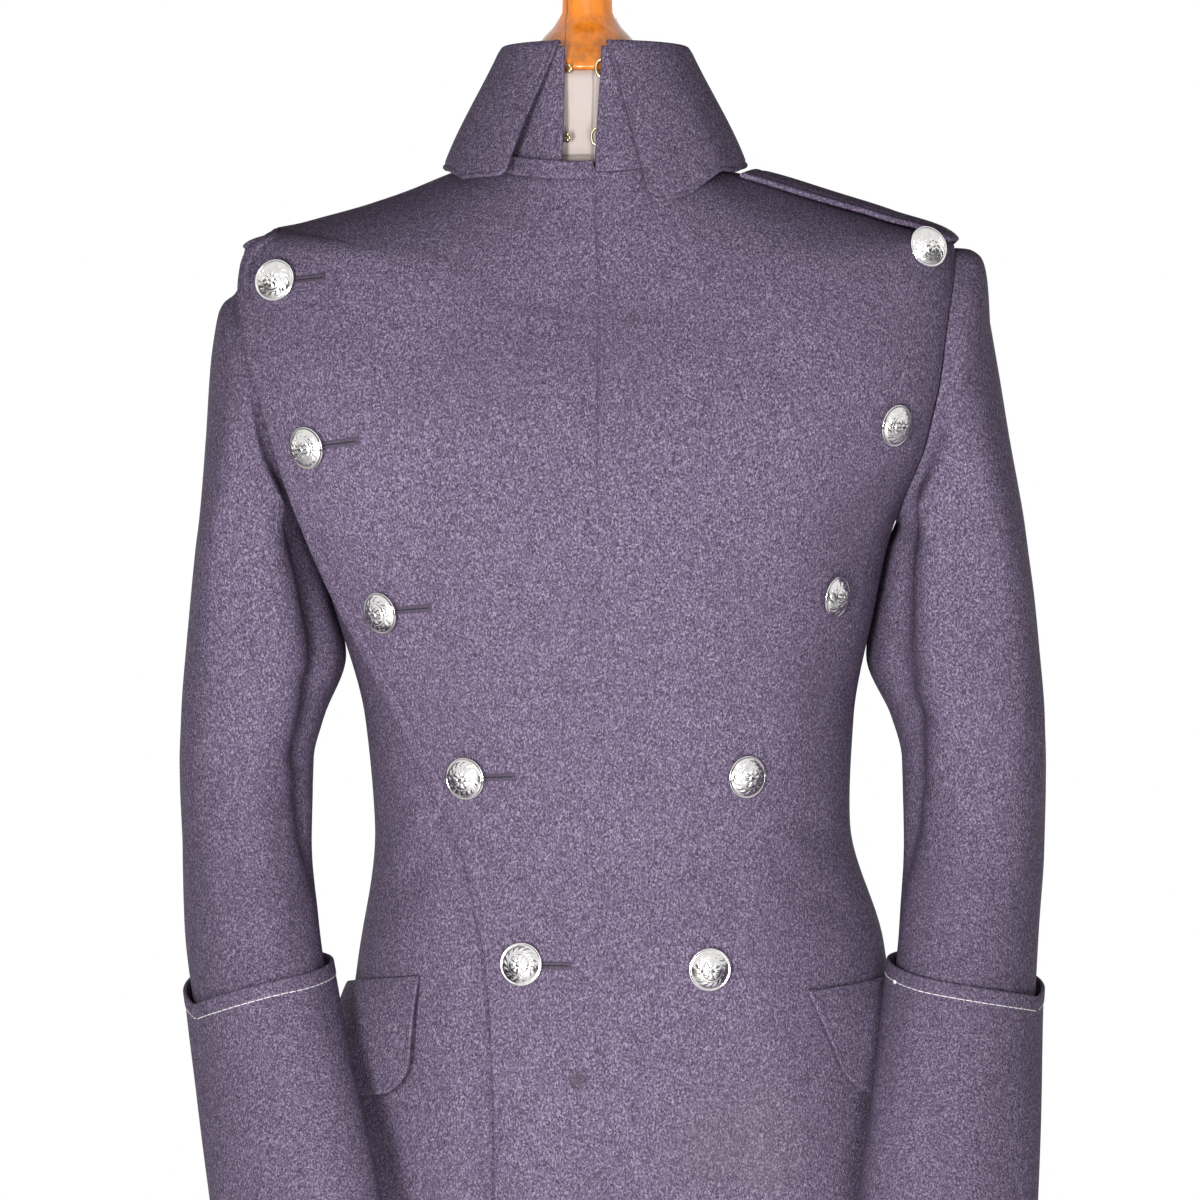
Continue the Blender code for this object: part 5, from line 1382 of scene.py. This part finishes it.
# Turned profiles, (radius, height)
FINIAL = (
    (45, 1530), (47, 1531.6), (46, 1534.6), (42.5, 1539), (37, 1544.5), (31.5, 1550.5), (27, 1556),
    (21.5, 1562), (18.6, 1567), (17.5, 1572), (17.3, 1578), (17.8, 1584), (21.5, 1591), (27, 1599),
    (31, 1610), (29.5, 1621.5), (24, 1632), (15.5, 1639), (9, 1642), (8.2, 1645.2), (9.6, 1648.6),
    (8.4, 1652.5), (4, 1655), (1, 1655.6),
)
POLE = (
    (17, 52.4), (17, 62), (21, 66), (21, 72), (17, 76), (16, 90), (16, 700), (17, 744), (22, 750),
    (22, 757), (18, 762), (18, 790), (52, 794), (54, 797), (54, 805.6),
)
BASE = (
    (186, 0), (190, 4), (190, 16), (184, 22), (172, 24), (120, 30), (60, 38), (40, 44), (34, 52),
)


def turned_wood(name, profile, steps, node, shift=0.0, between=5):
    """A turned piece: its profile smoothed between the cutter's stops, and swept round."""
    stops = np.array(profile, float)
    knots = np.concatenate([[0], np.cumsum(np.hypot(*np.diff(stops, axis=0).T))])
    at = np.unique(np.concatenate([np.linspace(a, b, between) for a, b in zip(knots, knots[1:])]))
    radius, height = (smooth(knots, stops[:, i], at)[:, None] for i in (0, 1))
    points = turned(radius, height, steps, shift) * MM
    made = object_from(name, points, tube_faces(*points.shape[:2]), finish("varnished_wood"))
    dress(made, "varnished_wood", node)


def build_stand():
    turned_wood("turned_finial", FINIAL, 96, "form_finial", shift=FORM_RINGS[-1].shift)
    turned_wood("turned_pole", POLE, 56, "stand_pole", between=4)
    turned_wood("turned_base", BASE, 96, "stand_base", between=6)


# ---------------------------------------------------------------- finishes


class Field:
    """A node's output as a value: arithmetic on it adds the Math nodes."""

    def __init__(self, recipe, socket):
        self.recipe = recipe
        self.socket = socket

    def math(self, operation, *values):
        inputs = dict(enumerate(values))
        return self.recipe.node("ShaderNodeMath", {"operation": operation}, inputs, "Value")

    def __add__(self, other):
        return self.math("ADD", self, other)

    __radd__ = __add__

    def __sub__(self, other):
        return self.math("SUBTRACT", self, other)

    def __rsub__(self, other):
        return self.math("SUBTRACT", other, self)

    def __mul__(self, other):
        return self.math("MULTIPLY", self, other)

    __rmul__ = __mul__

    def __abs__(self):
        return self.math("ABSOLUTE", self)


class Recipe:
    """A finish, or the studio's light, being mixed: its node tree, and the one method that adds a node."""

    def __init__(self, owner):
        self.owner = owner
        owner.use_nodes = True
        self.tree = owner.node_tree
        self.tree.nodes.clear()

    def node(self, kind, settings, inputs, output):
        """Adds a node, sets it up, fills its sockets with values or links, and gives one output."""
        made = self.tree.nodes.new(kind)
        for key, value in settings.items():
            setattr(made, key, value)
        for key, value in inputs.items():
            socket = made.inputs[key]
            if isinstance(value, Field):
                self.tree.links.new(value.socket, socket)
            else:
                socket.default_value = value
        return Field(self, made.outputs[output])

    def place(self, stretch=(1, 1, 1)):
        """A point of the piece in metres, stretched along each axis."""
        point = self.node("ShaderNodeTexCoord", {}, {}, "Object")
        if stretch == (1, 1, 1):
            return point
        settings = {"operation": "MULTIPLY"}
        return self.node("ShaderNodeVectorMath", settings, {0: point, 1: stretch}, "Vector")

    def along(self, axis):
        """How far along an axis a point of the piece lies, in metres."""
        return self.node("ShaderNodeSeparateXYZ", {}, {0: self.place()}, axis)

    def noise(self, size, detail=2.0, rough=0.5, stretch=(1, 1, 1), offset=0.0):
        """Soft random spots of about a size in metres, from 0 to 1 with most values near the middle."""
        inputs = {"Vector": self.place(stretch), "Scale": 1 / size, "Detail": detail, "Roughness": rough}
        settings = {"noise_dimensions": "3D"}
        if offset:
            settings["noise_dimensions"] = "4D"
            inputs["W"] = offset
        return self.node("ShaderNodeTexNoise", settings, inputs, "Fac")

    def band(self, value, start, end, low=0.0, high=1.0):
        """Low before start, high after end, and a soft step between them."""
        settings = {"interpolation_type": "SMOOTHSTEP"}
        inputs = {"Value": value, "From Min": start, "From Max": end, "To Min": low, "To Max": high}
        return self.node("ShaderNodeMapRange", settings, inputs, "Result")

    def spot(self, centre, radius, soft):
        """1 inside a ball about a place on the piece, fading to 0 over a soft edge."""
        settings = {"operation": "DISTANCE"}
        away = self.node("ShaderNodeVectorMath", settings, {0: self.place(), 1: centre}, "Value")
        return self.band(away, radius + soft, radius)

    def for_rays(self, kind, others, value):
        """A value for one kind of ray, and another for all others."""
        ray = self.node("ShaderNodeLightPath", {}, {}, kind)
        inputs = {"Value": ray, "To Min": others, "To Max": value}
        return self.node("ShaderNodeMapRange", {}, inputs, "Result")

    def mix(self, share, first, second):
        """A colour between two, by a share from 0 to 1."""
        first, second = (end if isinstance(end, Field) else (*end, 1) for end in (first, second))
        inputs = {"Factor": share, 6: first, 7: second}
        return self.node("ShaderNodeMix", {"data_type": "RGBA"}, inputs, 2)

    def bump(self, height, strength, distance):
        inputs = {"Height": height, "Strength": strength, "Distance": distance}
        return self.node("ShaderNodeBump", {}, inputs, "Normal")

    def surface(self, **inputs):
        """The finished surface. Names of sockets are written with _ for a space."""
        sockets = {key.replace("_", " "): value for key, value in inputs.items()}
        shader = self.node("ShaderNodeBsdfPrincipled", {}, sockets, "BSDF")
        return self.finished("ShaderNodeOutputMaterial", shader)

    def finished(self, kind, shader):
        output = self.tree.nodes.new(kind)
        self.tree.links.new(shader.socket, output.inputs["Surface"])
        return self.owner


def material(name):
    """The recipe of a new finish."""
    return Recipe(bpy.data.materials.new(name))


def shade(colour, factor):
    return tuple(channel * factor for channel in colour)


def melton_finish():
    """Heathered melton: grey-violet felted wool with pale and dark fibres, cloudy wear and a few marks."""
    cloth = bpy.context.scene.greatcoat.cloth
    base = cloth.colour
    recipe = material("melton")
    size = cloth.fleck_size
    fibres = recipe.noise(size, 1.0, 0.5, (1, 1, 0.75))
    flecks = recipe.noise(size * 0.75, 0.0, 0.5, (1, 1, 0.65), offset=3.1)
    tufts = recipe.noise(size * 3.5, 2.0, 0.5, (1, 1, 0.8), offset=1.7)
    clouds = recipe.noise(0.07, 3.0, 0.55, offset=0.6)
    dark = shade(base, 1 - 0.5 * cloth.fleck_strength)
    pale = shade(base, 1 + 0.75 * cloth.fleck_strength)
    colour = recipe.mix(recipe.band(fibres, 0.36, 0.66), dark, pale)
    colour = recipe.mix(recipe.band(flecks, 0.58, 0.72) * 0.75, colour, cloth.pale_fibre)
    colour = recipe.mix(recipe.band(flecks, 0.40, 0.28) * 0.65, colour, cloth.dark_fibre)
    colour = recipe.mix(recipe.band(tufts, 0.3, 0.7) * 0.18, colour, shade(base, 1.3))
    colour = recipe.mix(recipe.band(clouds, 0.35, 0.75) * 0.2, colour, shade(base, 0.78))
    patch = recipe.spot(front_spot(87, 872), 0.012, 0.055) * recipe.band(clouds, 0.25, 0.6)
    colour = recipe.mix(patch * 0.24, colour, (0.15, 0.128, 0.128))
    mark = recipe.spot(front_spot(-13, 912), 0.0025, 0.005)
    colour = recipe.mix(mark * 0.6, colour, (0.06, 0.045, 0.05))
    nap = recipe.bump(fibres * 0.7 + tufts * 0.5, 0.3, 0.001)
    return recipe.surface(Base_Color=colour, Roughness=0.95, Normal=nap, Specular_IOR_Level=0.05)


def front_spot(x, height):
    """A place on the coat's front, in metres, for a mark."""
    return tuple(float(value) for value in front_frame(x, height)[0])


def twist_finish():
    """Silk twist close to the cloth's colour, for stitched edges and worked buttonholes."""
    cloth = bpy.context.scene.greatcoat.cloth
    recipe = material("twist")
    ply = recipe.noise(0.0006, 1.0, 0.5, (1, 1, 0.5))
    colour = recipe.mix(recipe.band(ply, 0.3, 0.7), shade(cloth.colour, 0.4), shade(cloth.colour, 0.9))
    return recipe.surface(Base_Color=colour, Roughness=0.7, Normal=recipe.bump(ply, 0.3, 0.0003))


def shadow_finish():
    """Painted shadow: near-black, mottled, for the shade inside a buttonhole's slit and along the dart's
    seam.
    """
    recipe = material("shadow")
    shadow_mottle = recipe.noise(0.001, 2.0)
    colour = recipe.mix(shadow_mottle, (0.006, 0.005, 0.007), (0.02, 0.017, 0.023))
    return recipe.surface(Base_Color=colour, Roughness=1.0)


def white_thread_finish():
    trim = bpy.context.scene.greatcoat.trim
    recipe = material("white_thread")
    ply = recipe.noise(0.0007, 1.0)
    colour = recipe.mix(recipe.band(ply, 0.3, 0.7), shade(trim.tacking, 0.75), trim.tacking)
    return recipe.surface(Base_Color=colour, Roughness=0.75, Normal=recipe.bump(ply, 0.3, 0.0003))


def silver_finish():
    """Plated metal, bright on what is rubbed and dulled in patches."""
    trim = bpy.context.scene.greatcoat.trim
    recipe = material("silver")
    haze = recipe.noise(0.004, 3.0)
    pits = recipe.noise(0.0009, 2.0)
    dull = recipe.band(haze, 0.45, 0.75)
    colour = recipe.mix(dull * 0.5, trim.silver, shade(trim.silver, 0.72))
    roughness = 0.13 + dull * 0.14 + recipe.band(pits, 0.55, 0.75) * 0.06
    pitted = recipe.bump(pits, 0.08, 0.0002)
    return recipe.surface(Base_Color=colour, Roughness=roughness, Metallic=1.0, Normal=pitted)


def brass_wire_finish():
    recipe = material("brass_wire")
    wear = recipe.noise(0.0012, 2.0)
    colour = recipe.mix(recipe.band(wear, 0.35, 0.7), (0.80, 0.68, 0.42), (0.56, 0.45, 0.25))
    return recipe.surface(Base_Color=colour, Roughness=0.2 + wear * 0.2, Metallic=1.0)


def calico_finish():
    """Unbleached cotton cloth drawn over the form, woven at about 15 threads to the centimetre."""
    trim = bpy.context.scene.greatcoat.trim
    recipe = material("calico")
    settings = {"wave_type": "BANDS", "bands_direction": "Z", "wave_profile": "SIN"}
    inputs = {"Vector": recipe.place(), "Scale": 480.0, "Distortion": 1.2, "Detail": 1.0}
    weft = recipe.node("ShaderNodeTexWave", settings, inputs, "Fac")
    warp = recipe.node("ShaderNodeTexWave", {**settings, "bands_direction": "DIAGONAL"}, inputs, "Fac")
    slub = recipe.noise(0.012, 3.0, 0.6, (1, 1, 3))
    yellowing = recipe.noise(0.05, 2.0)
    base = trim.calico
    place, rise = recipe.along("X"), recipe.along("Z")
    wander = (recipe.noise(0.03, 1.0) - 0.5) * 0.004
    front_seam = recipe.band(abs(place + 0.0045 + wander), 0.0011, 0.0003)
    cross_seam = recipe.band(abs(rise - 1.4765 + wander), 0.0012, 0.0004)
    seams = front_seam.math("MAXIMUM", front_seam, cross_seam)
    colour = recipe.mix(weft * warp * 0.5, shade(base, 0.9), shade(base, 1.05))
    colour = recipe.mix(recipe.band(slub, 0.5, 0.8) * 0.25, colour, shade(base, 0.8))
    colour = recipe.mix(recipe.band(yellowing, 0.4, 0.75) * 0.3, colour, (0.70, 0.60, 0.52))
    colour = recipe.mix(seams * 0.55, colour, shade(base, 0.35))
    woven = recipe.bump(weft * warp + slub * 0.4 - seams * 3, 0.3, 0.0004)
    return recipe.surface(Base_Color=colour, Roughness=0.88, Normal=woven)


def varnished_wood_finish():
    """Turned and varnished wood: grain running up the piece, amber varnish and one hairline crack."""
    trim = bpy.context.scene.greatcoat.trim
    recipe = material("varnished_wood")
    base = trim.wood
    grain = recipe.noise(0.006, 5.0, 0.62, (1, 1, 0.09))
    pores = recipe.noise(0.0016, 2.0, 0.5, (1, 1, 0.05), offset=2.3)
    shading = recipe.noise(0.05, 2.0, 0.5, (1, 1, 0.4), offset=5.0)
    colour = recipe.mix(recipe.band(grain, 0.3, 0.7), shade(base, 0.72), shade(base, 1.15))
    colour = recipe.mix(recipe.band(shading, 0.35, 0.75) * 0.25, colour, (0.46, 0.13, 0.01))
    colour = recipe.mix(recipe.band(pores, 0.60, 0.72) * 0.35, colour, (0.16, 0.05, 0.012))
    wander = (recipe.noise(0.02, 2.0) - 0.5) * 0.006
    crack = recipe.band(abs(recipe.along("X") + 0.0215 + wander), 0.0005, 0.0001)
    colour = recipe.mix(crack * 0.8, colour, (0.05, 0.015, 0.004))
    return recipe.surface(
        Base_Color=colour,
        Roughness=0.34 + recipe.band(pores, 0.55, 0.75) * 0.15,
        Normal=recipe.bump(grain + pores * 0.5, 0.12, 0.0006),
        Coat_Weight=0.7,
        Coat_Roughness=0.12,
    )


def floor_finish():
    recipe = material("floor")
    stage = bpy.context.scene.greatcoat.stage
    cloud = recipe.noise(0.4, 3.0)
    colour = recipe.mix(cloud, shade(stage.floor_colour, 0.97), stage.floor_colour)
    return recipe.surface(Base_Color=colour, Roughness=0.6)


FINISHES = {
    "melton": melton_finish,
    "twist": twist_finish,
    "shadow": shadow_finish,
    "white_thread": white_thread_finish,
    "silver": silver_finish,
    "brass_wire": brass_wire_finish,
    "calico": calico_finish,
    "varnished_wood": varnished_wood_finish,
    "floor": floor_finish,
}
mixed = {}


def finish(name):
    """A finish by name, mixed once."""
    if name not in mixed:
        mixed[name] = FINISHES[name]()
    return mixed[name]


# ---------------------------------------------------------------- stage

CAMERA_PLACE = (0.0, -2.74, 1.2)
CAMERA_LENS, CAMERA_SENSOR = 130.0, 36.0
FLOOR_LEVEL, FLOOR_MIDDLE, FLOOR_STEPS = -0.0005, 0.25, 96  # height, radius of the inner ring, sides
# The mirrored room rises from its floor's share of the light to all of it between these heights
MIRRORED_RISE, MIRRORED_FLOOR = (-0.12, 0.2), 0.08
# Soft boxes: name, place, the point each faces, its width and height, and its share of the key's power
SoftBox = namedtuple("SoftBox", "name place faces width height share")
SOFT_BOXES = table(
    SoftBox,
    ("left", (-0.5, -2.5, 1.05), (0, 0, 1.0), 0.3, 0.6, 1.35),
    ("right", (0.3, -2.55, 0.85), (0, 0, 1.0), 0.4, 1.0, 0.85),
    ("top", (0.0, -2.2, 2.9), (0, 0, 1.2), 1.6, 0.8, 0.08),
    ("back_left", (1.7, 2.5, 1.5), (0, 0.1, 1.0), 1.4, 1.8, 1.1),
    ("back_right", (-1.7, 2.5, 1.5), (0, 0.1, 1.0), 1.4, 1.8, 1.1),
)


def studio_light(stage):
    """White light from all round: dim on the cloth, brighter where metal mirrors it from the side or
    above, and bright as the backdrop."""
    recipe = Recipe(bpy.data.worlds.new("studio"))
    direction = recipe.node("ShaderNodeTexCoord", {}, {}, "Generated")
    height = recipe.node("ShaderNodeSeparateXYZ", {}, {0: direction}, "Z")
    mirrored = recipe.band(height, *MIRRORED_RISE, stage.reflected * MIRRORED_FLOOR, stage.reflected)
    strength = recipe.for_rays("Is Glossy Ray", stage.ambient, mirrored)
    strength = recipe.for_rays("Is Camera Ray", strength, stage.backdrop)
    inputs = {"Color": (1, 1, 1, 1), "Strength": strength}
    shader = recipe.node("ShaderNodeBackground", {}, inputs, "Background")
    return recipe.finished("ShaderNodeOutputWorld", shader)


def build_stage():
    """A pale round floor, soft boxes in front and behind, a bright backdrop and the camera."""
    stage = bpy.context.scene.greatcoat.stage
    reach = np.array([stage.floor_radius, stage.floor_radius * 0.5, FLOOR_MIDDLE])[:, None]
    rings = turned(reach, FLOOR_LEVEL, FLOOR_STEPS)
    floor = object_from("floor", rings, tube_faces(3, FLOOR_STEPS, first_cap=False), finish("floor"))
    for box in SOFT_BOXES:
        light = bpy.data.lights.new("soft_box_" + box.name, "AREA")
        light.shape = "RECTANGLE"
        light.size, light.size_y = box.width, box.height
        light.energy = stage.key_power * box.share
        made = bpy.data.objects.new(light.name, light)
        made.location = box.place
        made.rotation_euler = (Vector(box.faces) - Vector(box.place)).to_track_quat("-Z", "Y").to_euler()
        bpy.context.scene.collection.objects.link(made)
    scene = bpy.context.scene
    scene.world = studio_light(stage)
    scene.view_settings.view_transform = "Standard"
    camera = bpy.data.cameras.new("camera")
    camera.lens, camera.sensor_width = CAMERA_LENS, CAMERA_SENSOR
    camera.clip_start, camera.clip_end = 0.05, 60.0
    made = bpy.data.objects.new("camera", camera)
    made.location = CAMERA_PLACE
    made.rotation_euler = (math.radians(90), 0, 0)
    scene.collection.objects.link(made)
    scene.camera = made


# ---------------------------------------------------------------- add-on


class GreatcoatCloth(PropertyGroup):
    colour: FloatVectorProperty(
        name="Cloth colour", description="Middle colour of the heathered melton",
        subtype="COLOR", size=3, min=0.0, max=1.0, default=(0.118, 0.089, 0.143),
    )
    pale_fibre: FloatVectorProperty(
        name="Pale fibres", description="Colour of the palest fibres in the cloth",
        subtype="COLOR", size=3, min=0.0, max=1.0, default=(0.34, 0.295, 0.385),
    )
    dark_fibre: FloatVectorProperty(
        name="Dark fibres", description="Colour of the darkest fibres in the cloth",
        subtype="COLOR", size=3, min=0.0, max=1.0, default=(0.028, 0.018, 0.038),
    )
    fleck_size: FloatProperty(
        name="Fleck size", description="Width of the cloth's fine flecks",
        subtype="DISTANCE", unit="LENGTH", min=0.0002, max=0.01, default=0.00105,
    )
    fleck_strength: FloatProperty(
        name="Fleck strength", description="How far pale and dark fibres differ from the middle colour",
        subtype="FACTOR", min=0.0, max=1.0, default=0.8,
    )


class GreatcoatTrim(PropertyGroup):
    silver: FloatVectorProperty(
        name="Buttons", description="Colour of the plated buttons",
        subtype="COLOR", size=3, min=0.0, max=1.0, default=(0.86, 0.84, 0.83),
    )
    tacking: FloatVectorProperty(
        name="Tacking thread", description="Colour of the white thread round the cuffs",
        subtype="COLOR", size=3, min=0.0, max=1.0, default=(0.85, 0.83, 0.82),
    )
    calico: FloatVectorProperty(
        name="Form cover", description="Colour of the form's cotton cover",
        subtype="COLOR", size=3, min=0.0, max=1.0, default=(0.62, 0.53, 0.50),
    )
    wood: FloatVectorProperty(
        name="Stand wood", description="Colour of the varnished wood",
        subtype="COLOR", size=3, min=0.0, max=1.0, default=(0.86, 0.245, 0.006),
    )


class GreatcoatStage(PropertyGroup):
    floor_colour: FloatVectorProperty(
        name="Floor", description="Colour of the studio floor",
        subtype="COLOR", size=3, min=0.0, max=1.0, default=(0.82, 0.82, 0.82),
    )
    floor_radius: FloatProperty(
        name="Floor radius", description="Radius of the round floor",
        subtype="DISTANCE", unit="LENGTH", min=0.5, max=20.0, default=4.0,
    )
    key_power: FloatProperty(
        name="Key power", description="Power of the main soft box",
        subtype="POWER", unit="POWER", min=0.0, max=2000.0, default=40.0,
    )
    ambient: FloatProperty(
        name="Room light", description="Brightness of the light that the room returns",
        min=0.0, max=10.0, default=0.02,
    )
    reflected: FloatProperty(
        name="Reflected room", description="Brightness of the room where polished metal mirrors it",
        min=0.0, max=10.0, default=0.9,
    )
    backdrop: FloatProperty(
        name="Backdrop", description="Brightness of the backdrop behind the coat",
        min=0.0, max=10.0, default=1.0,
    )


class GreatcoatSettings(PropertyGroup):
    cloth: PointerProperty(type=GreatcoatCloth, name="Cloth", description="The melton")
    trim: PointerProperty(type=GreatcoatTrim, name="Trim", description="Buttons, thread, form and stand")
    stage: PointerProperty(type=GreatcoatStage, name="Stage", description="Floor, light and backdrop")


class GREATCOAT_OT_stage(Operator):
    """Lay the floor, and set up the lights and the camera"""

    bl_idname = "greatcoat.stage"
    bl_label = "Stage"

    def execute(self, context):
        build_stage()
        return {"FINISHED"}


class GREATCOAT_OT_fronts(Operator):
    """Cut the overlapping left front and the right front below it"""

    bl_idname = "greatcoat.fronts"
    bl_label = "Fronts"

    def execute(self, context):
        build_front_left()
        build_front_right()
        return {"FINISHED"}


class GREATCOAT_OT_backs(Operator):
    """Cut the two backs, seamed down the centre"""

    bl_idname = "greatcoat.backs"
    bl_label = "Backs"

    def execute(self, context):
        build_backs()
        return {"FINISHED"}


class GREATCOAT_OT_sleeves(Operator):
    """Set the two sleeves into the armholes"""

    bl_idname = "greatcoat.sleeves"
    bl_label = "Sleeves"

    def execute(self, context):
        for side in SIDE:
            build_sleeve(side)
        return {"FINISHED"}


class GREATCOAT_OT_cuffs(Operator):
    """Turn back the deep cuffs"""

    bl_idname = "greatcoat.cuffs"
    bl_label = "Cuffs"

    def execute(self, context):
        for side in SIDE:
            build_cuff(side)
        return {"FINISHED"}


class GREATCOAT_OT_collar(Operator):
    """Raise the collar's stand and turn its leaf down"""

    bl_idname = "greatcoat.collar"
    bl_label = "Collar"

    def execute(self, context):
        build_collar()
        return {"FINISHED"}


class GREATCOAT_OT_flaps(Operator):
    """Sew on the two pocket flaps"""

    bl_idname = "greatcoat.flaps"
    bl_label = "Pocket flaps"

    def execute(self, context):
        for side in SIDE:
            build_flap(side)
        return {"FINISHED"}


class GREATCOAT_OT_straps(Operator):
    """Lay the two shoulder straps"""

    bl_idname = "greatcoat.straps"
    bl_label = "Shoulder straps"

    def execute(self, context):
        for side in SIDE:
            build_strap(side)
        return {"FINISHED"}


class GREATCOAT_OT_buttons(Operator):
    """Sew on the two rows of five domed buttons"""

    bl_idname = "greatcoat.buttons"
    bl_label = "Buttons"

    def execute(self, context):
        build_buttons()
        return {"FINISHED"}


class GREATCOAT_OT_buttonholes(Operator):
    """Work the five buttonholes of the overlapping front"""

    bl_idname = "greatcoat.buttonholes"
    bl_label = "Buttonholes"

    def execute(self, context):
        build_buttonholes()
        return {"FINISHED"}


class GREATCOAT_OT_hooks(Operator):
    """Bend the collar's wire hooks and eyes"""

    bl_idname = "greatcoat.hooks"
    bl_label = "Hooks and eyes"

    def execute(self, context):
        build_hooks_and_eyes()
        return {"FINISHED"}


class GREATCOAT_OT_stitching(Operator):
    """Stitch the edges and tack the cuffs"""

    bl_idname = "greatcoat.stitching"
    bl_label = "Stitching"

    def execute(self, context):
        build_stitching()
        return {"FINISHED"}


class GREATCOAT_OT_form(Operator):
    """Cover the dress form"""

    bl_idname = "greatcoat.form"
    bl_label = "Dress form"

    def execute(self, context):
        build_torso()
        return {"FINISHED"}


class GREATCOAT_OT_stand(Operator):
    """Turn the finial, the pole and the base"""

    bl_idname = "greatcoat.stand"
    bl_label = "Finial and stand"

    def execute(self, context):
        build_stand()
        return {"FINISHED"}


OPERATORS = (
    GREATCOAT_OT_stage, GREATCOAT_OT_fronts, GREATCOAT_OT_backs, GREATCOAT_OT_sleeves, GREATCOAT_OT_cuffs,
    GREATCOAT_OT_collar, GREATCOAT_OT_flaps, GREATCOAT_OT_straps, GREATCOAT_OT_buttons,
    GREATCOAT_OT_buttonholes, GREATCOAT_OT_hooks, GREATCOAT_OT_stitching, GREATCOAT_OT_form,
    GREATCOAT_OT_stand,
)


class GREATCOAT_PT_panel(Panel):
    """Sizes and colours, and a button for each piece"""

    bl_idname = "GREATCOAT_PT_panel"
    bl_label = "Greatcoat"
    bl_space_type = "VIEW_3D"
    bl_region_type = "UI"
    bl_category = "Greatcoat"

    def draw(self, context):
        settings = context.scene.greatcoat
        for group in (settings.cloth, settings.trim, settings.stage):
            box = self.layout.box()
            for name in group.__annotations__:
                box.prop(group, name)
        for operator in OPERATORS:
            self.layout.operator(operator.bl_idname)


SETTINGS = (GreatcoatCloth, GreatcoatTrim, GreatcoatStage, GreatcoatSettings)
CLASSES = (*SETTINGS, *OPERATORS, GREATCOAT_PT_panel)


def register():
    for cls in CLASSES:
        bpy.utils.register_class(cls)
    bpy.types.Scene.greatcoat = PointerProperty(type=GreatcoatSettings)


def unregister():
    del bpy.types.Scene.greatcoat
    for cls in reversed(CLASSES):
        bpy.utils.unregister_class(cls)


def main():
    register()
    for operator in OPERATORS:
        group, name = operator.bl_idname.split(".")
        getattr(getattr(bpy.ops, group), name)()
    bpy.context.view_layer.update()


if __name__ == "__main__":
    main()
